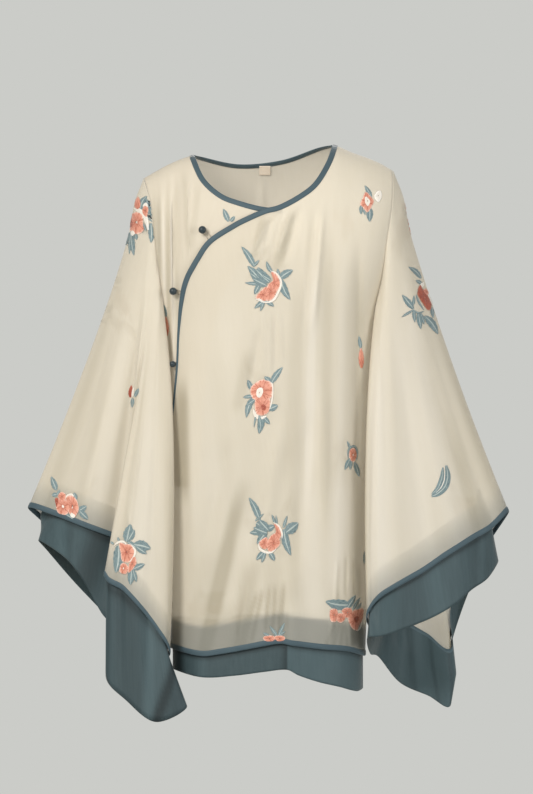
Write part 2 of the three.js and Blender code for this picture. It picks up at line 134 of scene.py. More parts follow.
# %% The form of the body
shoulder_line = profile([
    (-216, -60), (-186, -42), (-144, -19), (-111, -7.5), (0, 14),
    (97.5, 7.5), (128, -4), (165, -18), (188, -31), (216, -48),
])
half_width = profile([
    (-830, 146), (-750, 147), (-560, 156), (-400, 163), (-330, 165), (UNDERARM, 166),
    (-230, 172), (-200, 182), (-150, 196), (-80, 210), (40, 216),
])
armhole_right = profile([
    (UNDERARM, -166), (-240, -157), (-200, -161), (-150, -168), (-80, -176), (-42, -186),
])
armhole_left = profile([(UNDERARM, 166), (-240, 161), (-193, 171), (-135, 179), (-79, 187), (-31, 188)])
ARM_TOP_RIGHT = (-186.0, float(shoulder_line(-186.0)))
ARM_TOP_LEFT = (188.0, float(shoulder_line(188.0)))

# x at the top and at the foot, the stretch of z, the width and the height of each fold
FOLDS = {
    FRONT: [
        (-152, -146, -50, -290, 12, 5), (79, 58, -80, -300, 16, 4), (112, 104, -90, -700, 15, 5),
        (-20, -95, -480, -800, 28, -8), (34, 31, -600, -820, 18, 6), (-62, -40, -250, -560, 22, 4),
    ],
    BACK: [
        (-120, -100, -90, -700, 20, 6), (118, 96, -90, -700, 20, 6),
        (-30, -44, -300, -820, 26, 7), (26, 48, -260, -820, 24, -7),
    ],
}
# finer creases, written as the folds
CREASE_GAIN = 1.7
CREASES = {
    FRONT: [
        (-4, -22, -98, -160, 4.5, 2.6), (6, -8, -98, -150, 5, -2.0), (37, 8, -84, -175, 5, 2.6),
        (48, 24, -82, -180, 6, -2.4), (84, 66, -70, -290, 5, 2.2), (70, 52, -80, -300, 6, -2.2),
        (-4, -6, -236, -330, 2.2, 1.2), (3, 3, -236, -350, 2.0, 1.3), (10, 12, -236, -340, 2.0, -1.2),
        (17, 22, -236, -330, 2.4, 1.2), (-10, -30, -260, -380, 7, -2.2), (-8, -4, -640, -728, 2.4, 1.3),
        (3, 4, -650, -728, 2.2, 1.4), (14, 12, -640, -728, 2.4, -1.2), (22, 18, -640, -728, 2.6, 1.3),
        (104, 100, -610, -690, 2.6, 1.3), (118, 116, -600, -672, 3, -1.4), (130, 134, -600, -680, 3, 1.4),
        (100, 92, -694, -744, 3, 1.4), (122, 124, -700, -748, 3, 1.4), (136, 132, -110, -560, 7, -4.0),
        (-120, -112, -300, -640, 10, 3.0), (-60, -100, -420, -640, 14, -3.5),
        (20, -10, -400, -600, 13, 2.8), (60, 44, -380, -640, 12, -3.0), (82, 88, -330, -600, 10, 2.6),
        (-160, -160, -44, -230, 4, 2.2), (-168, -163, -60, -220, 3.5, -2.0),
        (-138, -136, -30, -200, 5, -2.4), (-128, -120, -24, -150, 6, 1.8),
        (-151, -150, -20, -420, 2.4, -1.6), (-145, -145, -20, -420, 2.4, 1.8),
        (-157, -156, -30, -380, 2.4, 1.3), (-120, -118, -16, -200, 4, 1.4),
        (-112, -122, -20, -150, 3, -1.2), (2, -14, -96, -170, 3, 1.4), (24, 2, -90, -180, 4, -1.6),
        (-24, -60, -640, -790, 5, 1.6), (-42, -52, -640, -790, 5, -1.6),
    ],
    BACK: [
        (-80, -70, -200, -700, 12, 3.0), (70, 64, -240, -720, 12, 3.2), (0, 6, -60, -360, 10, 2.6),
        (-10, -6, -30, -200, 5, -2.0), (140, 132, -90, -520, 8, -3.5), (-140, -134, -90, -520, 8, -3.5),
        (-60, -64, -420, -740, 9, -2.8), (12, 4, -420, -740, 8, 2.4), (96, 90, -500, -750, 8, -2.6),
    ],
}


def ridges(lines, x, z, fade_in, fade_out, blunt_from=math.inf):
    """The sum of ridges that fade in at their start and out at their end. Wide ones, from
    blunt_from on, are flatter on top and have clearer edges."""
    total = np.zeros(np.broadcast(x, z).shape)
    for top, foot, start, end, wide, high in lines:
        t = (z - start) / (end - start)
        off = np.abs(x - (top + (foot - top) * t)) / wide
        section = np.exp(-off ** (2 if wide < blunt_from else 3))
        total += high * section * smooth(t / fade_in) * smooth((1 - t) / fade_out)
    return total


def fold_height(face, x, z):
    return ridges(FOLDS[face], x, z, 0.3, 0.3) + CREASE_GAIN * ridges(CREASES[face], x, z, 0.25, 0.35)


# soft shade where the sheer cloth doubles or falls away, written as a fold with a strength;
# a negative one is a stretch that catches the light
SHADES = {
    FRONT: [
        (-34, -104, -480, -790, 11, 0.95), (-22, -48, -590, -790, 15, 0.6), (10, 12, -590, -780, 17, 0.35),
        (-6, -26, -650, -745, 3.3, 1.0), (3, -4, -645, -724, 2.9, 0.92), (11, 8, -645, -722, 2.9, 0.8),
        (25, 16, -640, -735, 3.1, 1.0), (-14, -40, -655, -745, 3.5, 0.92), (30, 27, -690, -742, 2.7, 0.57),
        (103, 84, -700, -750, 2.9, 0.92), (108, 96, -704, -752, 2.7, 0.92),
        (113, 108, -706, -752, 2.7, 0.92), (119, 119, -708, -756, 2.7, 0.8),
        (125, 129, -708, -758, 2.7, 0.8), (109, 104, -610, -682, 2.8, 0.69),
        (118, 116, -600, -676, 2.8, 0.69), (128, 130, -606, -676, 2.8, 0.69),
        (136, 138, -620, -676, 2.7, 0.57), (-25, -48, -290, -400, 11, 0.4),
        (-129, -126, -330, -540, 9, 1.0), (139, 136, -110, -720, 7, 0.7), (-5, -24, -92, -170, 6, 0.45),
        (40, 10, -80, -190, 8, 0.5), (92, 84, -90, -600, 9, 0.4), (52, 30, -160, -520, 13, 0.35),
        (-70, -66, -560, -830, 42, 0.35), (40, 38, -480, -700, 11, 0.35), (-88, -60, -180, -520, 12, 0.22),
        (-151, -150, -26, -380, 3.6, 0.9), (-163, -161, -40, -330, 3.4, 0.8),
        (-139, -138, -20, -280, 4, 0.5), (-128, -120, -16, -160, 5, 0.4), (-171, -168, -50, -260, 4.1, 0.8),
        (-104, -116, -40, -160, 5, 0.3), (66, 60, -70, -320, 5, 0.3), (118, 120, -540, -830, 20, 0.3),
        (71, 58, -120, -560, 6, -0.9), (113, 106, -110, -700, 6, -0.5), (-145, -145, -24, -420, 3.9, -1.0),
        (-75, -84, -180, -560, 30, -0.25), (62, 70, -480, -720, 16, -0.6),
        (-157, -156, -40, -360, 3.7, -0.8), (-10, -60, -520, -700, 14, -0.4),
        (110, 104, -480, -680, 16, -0.8), (60, 66, -150, -520, 10, -0.4),
    ],
    BACK: [
        (-100, -96, -120, -760, 12, 0.5), (100, 92, -120, -760, 12, 0.5), (0, 10, -60, -820, 10, 0.4),
        (-50, -60, -300, -820, 10, 0.4), (54, 60, -300, -820, 10, 0.4),
    ],
}


def shade(face, spots):
    return np.clip(ridges(SHADES[face], spots[..., 0], spots[..., 1], 0.25, 0.2, blunt_from=5), -1, 1)


def depth(face, x, z):
    fall = np.clip((shoulder_line(x) - z) / SHOULDER_FALL, 0, 1)
    roof = np.sqrt(1 - (1 - fall) ** 2)
    across = np.minimum(np.abs(x) / half_width(z), 1)
    section = (1 - across**ROUNDNESS) ** (1 / ROUNDNESS)
    return (HALF_DEPTH + fold_height(face, x, z)) * roof * section


def on_body(face, spots, lift=0.0):
    """Points and outward directions on a panel, for spots of any grid shape."""
    x, z = spots[..., 0], spots[..., 1]
    slope_x = (depth(face, x + 1, z) - depth(face, x - 1, z)) / 2
    slope_z = (depth(face, x, z + 1) - depth(face, x, z - 1)) / 2
    out = unit(np.stack([-slope_x, np.full_like(x, face), -slope_z], axis=-1))
    point = np.stack([x, face * depth(face, x, z), z], axis=-1)
    return point + out * np.asarray(lift)[..., None], out


def inset(face, spots, width):
    """Moves an edge sideways over the cloth, into the panel below it."""
    point, out = on_body(face, spots)
    side = unit(np.cross(out, np.gradient(point, axis=0)))
    moved = spots + face * width * side[:, [0, 2]]
    limit = shoulder_line(moved[:, 0])
    at_seam = np.abs(spots[:, 1] - shoulder_line(spots[:, 0])) < 0.3
    moved[:, 1] = np.where(at_seam, limit, np.minimum(moved[:, 1], limit))
    return moved


print("chest depth:", round(float(depth(FRONT, 0.0, -300.0)), 1), "mm")

# %% [markdown]
# ## From a grid to a thin shell
# Each piece of cloth starts as a grid of points on its middle surface. A Solidify
# modifier gives it two faces, and a UV map in metres along the cloth lets the weave and
# the stitches keep their real size.

# %% Mesh helpers
CLOTH_WALL = 0.5 * MM


def add_object(name, data):
    piece = bpy.data.objects.new(name, data)
    bpy.context.scene.collection.objects.link(piece)
    return piece


def finish_piece(piece, material, nodes):
    piece.data.materials.append(material)
    for face in piece.data.polygons:
        face.use_smooth = True
    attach(piece, "root")
    if nodes:
        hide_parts(*nodes)
    return piece


def apply_modifiers(piece):
    evaluated = piece.evaluated_get(bpy.context.evaluated_depsgraph_get())
    baked = bpy.data.meshes.new_from_object(evaluated)
    piece.modifiers.clear()
    piece.data = baked


def quads(rows, cols, ring=False, closed=False):
    """The corners of each cell of a grid of points. A ring's last column meets its first,
    and in a closed grid the last row meets the first."""
    i, j = np.indices((rows if closed else rows - 1, cols if ring else cols - 1))
    below, after = (i + 1) % rows, (j + 1) % cols
    corners = [i * cols + j, i * cols + after, below * cols + after, below * cols + j]
    return np.stack(corners, axis=-1).reshape(-1, 4).tolist()


def grid_mesh(name, points, ring=False):
    """A mesh over a grid of points in millimetres, with a UV map in metres along the cloth."""
    rows, cols = points.shape[:2]
    mesh = bpy.data.meshes.new(name)
    mesh.from_pydata((points.reshape(-1, 3) * MM).tolist(), [], quads(rows, cols, ring))
    wrapped = np.concatenate([points, points[:, :1]], axis=1) if ring else points
    across = np.linalg.norm(np.diff(wrapped, axis=1), axis=2).mean(axis=0)
    down = np.linalg.norm(np.diff(points, axis=0), axis=2).mean(axis=1)
    u = np.concatenate([[0], np.cumsum(across)]) * MM
    v = np.concatenate([[0], np.cumsum(down)]) * MM
    i, j = np.indices((rows - 1, cols if ring else cols - 1))
    corner_u = np.stack([u[j], u[j + 1], u[j + 1], u[j]], axis=-1)
    corner_v = np.stack([v[i], v[i], v[i + 1], v[i + 1]], axis=-1)
    layer = mesh.uv_layers.new(name="cloth")
    layer.data.foreach_set("uv", np.stack([corner_u, corner_v], axis=-1).astype(np.float32).ravel())
    return mesh


def cloth(name, points, material, nodes, outward, ring=False, paint=None):
    """A thin shell of cloth; outward is a direction that its first face should look."""
    piece = add_object(name, grid_mesh(name, points, ring))
    for word, values in (paint or {}).items():
        layer = piece.data.attributes.new(word, "FLOAT", "POINT")
        layer.data.foreach_set("value", np.asarray(values, np.float32).ravel())
    piece.data.update()
    if piece.data.polygons[0].normal.dot(Vector(outward)) < 0:
        piece.data.flip_normals()
    shell = piece.modifiers.new("wall", "SOLIDIFY")
    shell.thickness, shell.offset = CLOTH_WALL, 0
    apply_modifiers(piece)
    print(f"{name}: {len(piece.data.polygons)} faces")
    return finish_piece(piece, material, nodes)


# %% [markdown]
# ## Shader maths in plain sums
# A small class wraps a socket, so that an expression such as `1 - mask * 0.3` adds the
# Math nodes by itself. Colours are mixed with Mix nodes, because a Math node would turn
# them grey.

# %% A socket that can be used in sums
class Wire:
    def __init__(self, tree, socket):
        self.tree, self.socket = tree, socket

    def join(self, operation, other, flipped=False):
        node = self.tree.nodes.new("ShaderNodeMath")
        node.operation = operation
        for place, value in zip(node.inputs, (other, self) if flipped else (self, other)):
            plug(self.tree, place, value)
        return Wire(self.tree, node.outputs[0])

    def __add__(self, other):
        return self.join("ADD", other)

    def __radd__(self, other):
        return self.join("ADD", other, True)

    def __sub__(self, other):
        return self.join("SUBTRACT", other)

    def __rsub__(self, other):
        return self.join("SUBTRACT", other, True)

    def __mul__(self, other):
        return self.join("MULTIPLY", other)

    def __rmul__(self, other):
        return self.join("MULTIPLY", other, True)

    def __gt__(self, other):
        return self.join("GREATER_THAN", other)

    def __lt__(self, other):
        return self.join("LESS_THAN", other)

    def absolute(self):
        return self.join("ABSOLUTE", 0)

    def fraction(self):
        return self.join("FRACT", 0)

    def wave(self, length):
        """A sine that repeats after a length."""
        return (self * (2 * math.pi / length)).join("SINE", 0)


def plug(tree, place, value):
    if isinstance(value, Wire):
        tree.links.new(value.socket, place)
    elif isinstance(value, tuple) and place.type == "RGBA" and len(value) == 3:
        place.default_value = (*value, 1)
    else:
        place.default_value = value


class Finish:
    """One material: its Principled shader and the nodes that lead to it."""

    def __init__(self, name, **constants):
        self.material = bpy.data.materials.new(name)
        self.material.use_nodes = True
        self.tree = self.material.node_tree
        self.shader = self.tree.nodes["Principled BSDF"]
        self.set(**constants)

    def set(self, **values):
        for name, value in values.items():
            plug(self.tree, self.shader.inputs[name.replace("_", " ")], value)

    def node(self, kind, output=0, settings=None, **sockets):
        """Adds a node: settings first, then the values or links of its sockets."""
        node = self.tree.nodes.new("ShaderNode" + kind)
        for name, value in (settings or {}).items():
            setattr(node, name, value)
        for name, value in sockets.items():
            key = int(name[1:]) if name[0] == "i" and name[1:].isdigit() else name.replace("_", " ")
            plug(self.tree, node.inputs[key], value)
        return Wire(self.tree, node.outputs[output])

    def blend(self, share, first, second):
        return self.node("Mix", 2, {"data_type": "RGBA"}, i0=share, i6=first, i7=second)

    def toned(self, plain, dim, deep, lit, bright):
        """Mixes in the deep colour where the painted shade is above 0, and the bright one below."""
        tone = self.node("Attribute", "Fac", {"attribute_name": "shade"})
        dimmed = self.blend(tone.join("MAXIMUM", 0) * dim, plain, deep)
        return self.blend((0 - tone).join("MAXIMUM", 0) * lit, dimmed, bright)

    def ramp(self, value, low, high):
        return self.node("MapRange", 0, None, Value=value, From_Min=low, From_Max=high)

    def split_uv(self, layer="cloth"):
        uv = self.node("UVMap", 0, {"uv_map": layer})
        return (self.node("SeparateXYZ", k, None, Vector=uv) for k in (0, 1))

    def noise(self, scale, detail=3.0, stretch=(1, 1, 1), space="Object"):
        if space == "UV":
            place = self.node("UVMap", 0, {"uv_map": "cloth"})
        else:
            place = self.node("TexCoord", "Object")
        moved = self.node("VectorMath", 0, {"operation": "MULTIPLY"}, i0=place, i1=stretch)
        return self.node("TexNoise", "Fac", None, Vector=moved, Scale=scale, Detail=detail)

    def bump(self, height, strength, distance):
        self.set(Normal=self.node("Bump", 0, None, Height=height, Strength=strength, Distance=distance))


def srgb(code):
    """A colour written as on a dye chart, turned into the linear values that Blender uses."""
    parts = [int(code[k:k + 2], 16) / 255 for k in (1, 3, 5)]
    return tuple(c / 12.92 if c <= 0.04045 else ((c + 0.055) / 1.055) ** 2.4 for c in parts)


# %% [markdown]
# ## Cream silk organza
# The robe's cloth is sheer and crisp, with long threads that shine softly. A shell has two
# faces, and with an alpha of a half on each, a quarter of what lies behind shows through.
# Fine streaks along the warp vary the colour, and a plain weave of threads 0.7 mm apart
# gives the bump.

# %% The cream silk
THREAD_PITCH = 0.0007


def weave(pitch, u, v):
    return u.wave(pitch) * v.wave(pitch)


def cream_silk(name, light, shade, alpha):
    silk = Finish(name, Roughness=0.62, Sheen_Weight=0.25, Sheen_Roughness=0.4,
                  Specular_IOR_Level=0.3, Alpha=alpha)
    u, v = silk.split_uv()
    streaks = silk.noise(26.0, 4.0, (9.0, 0.7, 1.0), "UV")
    clouds = silk.noise(6.0, 2.0)
    share = clouds * 0.55 + streaks * 0.45
    toned = silk.toned(silk.blend(share, shade, light), 0.6, srgb("#B6AB90"), 0.7, srgb("#FFF8EC"))
    behind = silk.node("Attribute", "Fac", {"attribute_name": "lining"})
    silk.set(Base_Color=silk.blend(behind * 0.62, toned, srgb("#8E9390")))
    silk.bump(weave(THREAD_PITCH, u, v) * 0.35 + streaks * 0.65, 0.18, 0.0006)
    return silk.material


CREAM = cream_silk("cream_silk", srgb("#F6EEDF"), srgb("#EBE1CD"), 0.5)
CREAM_UNDER = cream_silk("cream_silk_under", srgb("#F1E8D8"), srgb("#E6DBC7"), 0.6)

# %% [markdown]
# ## Teal satin and bias binding
# The borders are a denser satin in slate teal, with a diagonal twill for the bump, and
# every edge is bound with a strip cut on the bias from a slightly lighter teal.


# %% The teal cloths
TWILL_PITCH = 0.0006
BOUND_EDGE = 0.006


def teal_cloth(name, light, dark, roughness, bound):
    satin = Finish(name, Roughness=roughness, Sheen_Weight=0.35, Sheen_Roughness=0.35,
                   Specular_IOR_Level=0.35)
    u, v = satin.split_uv()
    streaks = satin.noise(30.0, 3.0, (7.0, 1.0, 1.0), "UV")
    deep, bright = tuple(0.35 * c for c in dark), tuple(1.5 * c for c in light)
    toned = satin.toned(satin.blend(streaks, dark, light), 0.75, deep, 0.6, bright)
    satin.set(Base_Color=toned)
    twill = (u + v * 1.4).wave(TWILL_PITCH)
    height = twill * 0.4 + streaks * 0.5
    if bound:  # the top of a border is its own bound edge
        edge = v < BOUND_EDGE
        satin.set(Base_Color=satin.blend(edge * 0.8, toned, srgb("#5D727B")))
        height = height + edge * 1.2
    satin.bump(height, 0.2, 0.0005)
    return satin.material


TEAL = teal_cloth("teal_border", srgb("#4C5E63"), srgb("#3C4D52"), 0.5, True)
BIAS = teal_cloth("teal_binding", srgb("#4F626B"), srgb("#40535C"), 0.55, False)

# %% [markdown]
# ## Front, under front and back
# A panel is drawn between its four edges: the top edge with its neckline and shoulder,
# the hem, and the two sides. Points inside are blended from all four, so the grid lines
# run with the cloth.

# %% Edges of the body pieces
OPENING = [
    (-160, -472), (-152, -440), (-145, -402), (-140.5, -362), (-137, -322), (-135, -270), (-132, -225),
    (-125, -193), (-108, -161), (-89, -134.5), (-55, -112), (-32, -100), (-5, -88.5),
    (16, -83), (43, -69), (68, -50), (87, -20), (97.5, 7.5),
]
UNDER_NECK = [(-111, -7.5), (-95, -41), (-70, -64), (-43, -75), (-9, -84), (22, -87)]
BACK_NECK = [(-111, -7.5), (-100, -10), (-43, -21), (20, -15), (74, 3), (97.5, 7.5)]
UNDER_EDGE = [(-30, -150), (-72, -230), (-92, -330), (-104, UNDER_END)]
hem_front = profile([
    (-146, -749), (-100, -758), (-69, -754), (-37, -748), (-6, -742), (19.5, -738),
    (36, -741), (78, -747), (121, -752), (146, -761),
])
hem_back = profile([(-146, -749), (-90, -757), (-20, -750), (60, -757), (146, -761)])
border_foot_front = profile([
    (-146, -781), (-100, -790), (-48, -786.5), (-6, -781), (29, -778), (47, -786.5),
    (78, -797), (110, -805), (137, -813), (146, -811),
])
border_foot_back = profile([(-146, -781), (-60, -795), (20, -787), (90, -799), (146, -811)])
BINDING_COVER = 3.0  # a panel runs this far into its binding


def closer(t):
    return t**1.6


def heights(top, foot, rows):
    return top + (foot - top) * closer(np.linspace(0, 1, rows + 1))


def shoulder_seam(start, end, steps):
    x = np.linspace(start, end, steps + 1)
    return np.stack([x, shoulder_line(x)], axis=1)


def hem_spots(hem, steps, rise):
    x = -np.cos(np.linspace(0, math.pi, steps + 1)) * half_width(-750.0)
    return np.stack([x, hem(x) + rise], axis=1)


def body_side(armhole, way, top, foot, rows):
    z = heights(top, foot, rows)
    return np.stack([np.where(z > UNDERARM, armhole(z), way * half_width(z)), z], axis=1)


def panel(face, top, foot, left, right, lift=lambda spots: 0.0):
    v = ((left[:, 1] - left[0, 1]) / (left[-1, 1] - left[0, 1]))[:, None, None]
    u = np.linspace(0, 1, len(top))[None, :, None]
    down = top[None] * (1 - v) + foot[None] * v
    over = left[:, None] * (1 - u) + right[:, None] * u
    flat = (top[0] * (1 - u) + top[-1] * u) * (1 - v) + (foot[0] * (1 - u) + foot[-1] * u) * v
    spots = down + over - flat
    spots[..., 1] = np.minimum(spots[..., 1], shoulder_line(spots[..., 0]))
    return on_body(face, spots, lift(spots))[0], spots


def under_lift(spots):
    outwards = smooth((-140 - spots[..., 0]) / 25) * smooth((spots[..., 1] + 330) / 80)
    below_seam = smooth((shoulder_line(spots[..., 0]) - spots[..., 1]) / 30)
    return UNDERLAP * (outwards - 1) * below_seam


def lining(spots, hem):
    """1 where the border lies behind the cloth, with a soft upper end."""
    return smooth((hem(spots[..., 0]) + BORDER_TOP + 4 - spots[..., 1]) / 9)


# %% Sew the body pieces
opening_edge = along(OPENING, 172)
front_top = np.vstack([
    inset(FRONT, opening_edge, BINDING_COVER),
    shoulder_seam(97.5 + BINDING_COVER, ARM_TOP_LEFT[0], 28)[1:],
])
front_foot = hem_spots(hem_front, len(front_top) - 1, BINDING_COVER)
FRONT_ROWS = 160
left_z = heights(front_top[0, 1], front_foot[0, 1], FRONT_ROWS)
turn = np.minimum((front_top[0, 1] - left_z) / 40, 1)
front_left = np.stack([front_top[0, 0] * (1 - turn) - half_width(left_z) * turn, left_z], axis=1)
front_right = body_side(armhole_left, 1, ARM_TOP_LEFT[1], front_foot[-1, 1], FRONT_ROWS)
front_grid, spots = panel(FRONT, front_top, front_foot, front_left, front_right)
front_piece = cloth("front_panel_silk", front_grid, CREAM, ["front_panel"], (0, -1, 0),
                    paint=dict(shade=shade(FRONT, spots), lining=lining(spots, hem_front)))

under_edge = along(UNDER_NECK, 54)
under_top = np.vstack([
    shoulder_seam(ARM_TOP_RIGHT[0], -111 - BINDING_COVER, 27)[:-1], inset(FRONT, under_edge, BINDING_COVER),
])
UNDER_ROWS = 90
under_x = np.linspace(-half_width(UNDER_END), UNDER_EDGE[-1][0], len(under_top))
under_foot = np.stack([under_x, np.full_like(under_x, UNDER_END)], axis=1)
under_left = body_side(armhole_right, -1, ARM_TOP_RIGHT[1], UNDER_END, UNDER_ROWS)
under_right = along([tuple(under_top[-1]), *UNDER_EDGE], UNDER_ROWS, closer)
under_grid, spots = panel(FRONT, under_top, under_foot, under_left, under_right, under_lift)
under_piece = cloth("under_front_silk", under_grid, CREAM_UNDER, ["under_front"], (0, -1, 0),
                    paint=dict(shade=shade(FRONT, spots), lining=0 * spots[..., 0]))

back_edge = along(BACK_NECK, 70)
back_top = np.vstack([
    shoulder_seam(ARM_TOP_RIGHT[0], -111 - BINDING_COVER, 20)[:-1],
    inset(BACK, back_edge, BINDING_COVER),
    shoulder_seam(97.5 + BINDING_COVER, ARM_TOP_LEFT[0], 20)[1:],
])
BACK_ROWS = 120
back_foot = hem_spots(hem_back, len(back_top) - 1, BINDING_COVER)
back_left = body_side(armhole_right, -1, ARM_TOP_RIGHT[1], back_foot[0, 1], BACK_ROWS)
back_right = body_side(armhole_left, 1, ARM_TOP_LEFT[1], back_foot[-1, 1], BACK_ROWS)
back_grid, spots = panel(BACK, back_top, back_foot, back_left, back_right)
back_piece = cloth("back_panel_silk", back_grid, CREAM, ["back_panel"], (0, 1, 0),
                   paint=dict(shade=shade(BACK, spots), lining=lining(spots, hem_back)))


# %% [markdown]
# ## Bindings
# A bias binding is a strip folded over the raw edge. Its section is drawn once, as a
# soft flattened loop around the edge, and carried along the edge of each piece.

# %% A folded strip along an edge
# share of the strip's width from the edge inwards, and height over the cloth in millimetres
STRIP = [
    (1.0, 0.35), (0.93, 0.8), (0.7, 1.05), (0.35, 1.1), (0.08, 0.85), (-0.02, 0.4), (-0.04, 0.0),
    (-0.02, -0.4), (0.08, -0.85), (0.35, -1.1), (0.7, -1.05), (0.93, -0.8), (1.0, -0.35),
]


def binding(name, edge, seam, out, nodes, ring=False):
    """edge and seam are lines of points in millimetres; out is the way out of the cloth."""
    loops = np.stack([edge + (seam - edge) * share + out * high for share, high in STRIP], axis=1)
    if ring:
        loops = np.concatenate([loops, loops[:1]], axis=0)
    mesh = grid_mesh(name, loops, ring=True)
    work = bmesh.new()
    work.from_mesh(mesh)
    if ring:
        bmesh.ops.remove_doubles(work, verts=work.verts, dist=1e-6)
    else:
        bmesh.ops.holes_fill(work, edges=[e for e in work.edges if e.is_boundary])
    bmesh.ops.recalc_face_normals(work, faces=work.faces)
    work.to_mesh(mesh)
    work.free()
    print(f"{name}: {len(mesh.polygons)} faces")
    return finish_piece(add_object(name, mesh), BIAS, nodes)


def body_binding(name, face, edge, nodes, lift=0.0, width=EDGE_WIDTH):
    point, out = on_body(face, edge, lift)
    inner = inset(face, edge, EDGE_WIDTH)
    seam = on_body(face, edge + (inner - edge) * np.reshape(width / EDGE_WIDTH, (-1, 1)), lift)[0]
    return binding(name, point, seam, out, nodes)


# below the second button the bound edge rolls under, so less of it is seen
rolled = EDGE_WIDTH * (1 - 0.55 * smooth((-190 - opening_edge[:, 1]) / 110))
opening_binding = body_binding("opening_bias", FRONT, opening_edge, ["binding_opening"], 0.4, rolled)
under_binding = body_binding("under_neck_bias", FRONT, under_edge, ["binding_under_neck"],
                             under_lift(under_edge))
back_binding = body_binding("back_neck_bias", BACK, back_edge, ["binding_back_neck"])

# %% [markdown]
# ## Hems and borders of the body
# Under the robe's hem hangs a darker border. It starts inside, 45 mm above the hem, so
# its upper edge shows faintly through the sheer silk.


# %% Hem bindings and body borders
PAINTED_BORDER_FOLD = 28.0  # where the border folds over itself, across the body


def body_hem(word, face, hem, border_foot, steps=150):
    edge = hem_spots(hem, steps, 0)
    point, out = on_body(face, edge)
    seam = on_body(face, hem_spots(hem, steps, EDGE_WIDTH))[0]
    hem_strip = binding(f"hem_{word}_bias", point, seam, out, [f"binding_hem_{word}"])
    upper, lower = hem(edge[:, 0]) + BORDER_TOP, border_foot(edge[:, 0])
    share = np.linspace(0, 1, 26)[:, None]
    z = upper * (1 - share) + lower * share
    spots = np.stack([np.broadcast_to(edge[:, 0], z.shape), z], axis=-1)
    points = on_body(face, spots, -BORDER_IN)[0]
    points[..., 1] = face * np.maximum(face * points[..., 1], 0.3)
    x = spots[..., 0]
    # painted light and shade mark the border's fold: painted shade just before the fold and, more weakly,
    # over the end with smaller x; painted light past the fold and in a small spot near x = -100
    past = x - PAINTED_BORDER_FOLD
    lit_side = -0.45 * smooth(past / 3) * smooth((150 - x) / 20) - 0.4 * bell(x + 100, 9)
    dim_side = np.where(past < 0, bell(past, 10), 0) + 0.25 * smooth((20 - x) / 10)
    under_hem = 0.9 * bell(hem(x) - z - 2, 4.5)  # the hem throws a shadow on its border
    hanging = cloth(f"border_{word}_satin", points, TEAL, [f"border_{word}"], (0, face, 0),
                    paint=dict(shade=np.clip(lit_side + dim_side + under_hem, -1, 1.2)))
    return hem_strip, hanging


hem_front_strip, border_front = body_hem("front", FRONT, hem_front, border_foot_front)
hem_back_strip, border_back = body_hem("back", BACK, hem_back, border_foot_back)

# %% [markdown]
# ## Sleeves
# A sleeve is a wide tube. It runs through three closed loops, which are the armhole, a
# middle loop and the hem, and its border runs on to a fourth. The loops hold the main
# folds: the deep pleat on the right sleeve and the turned-back tail of the left one.

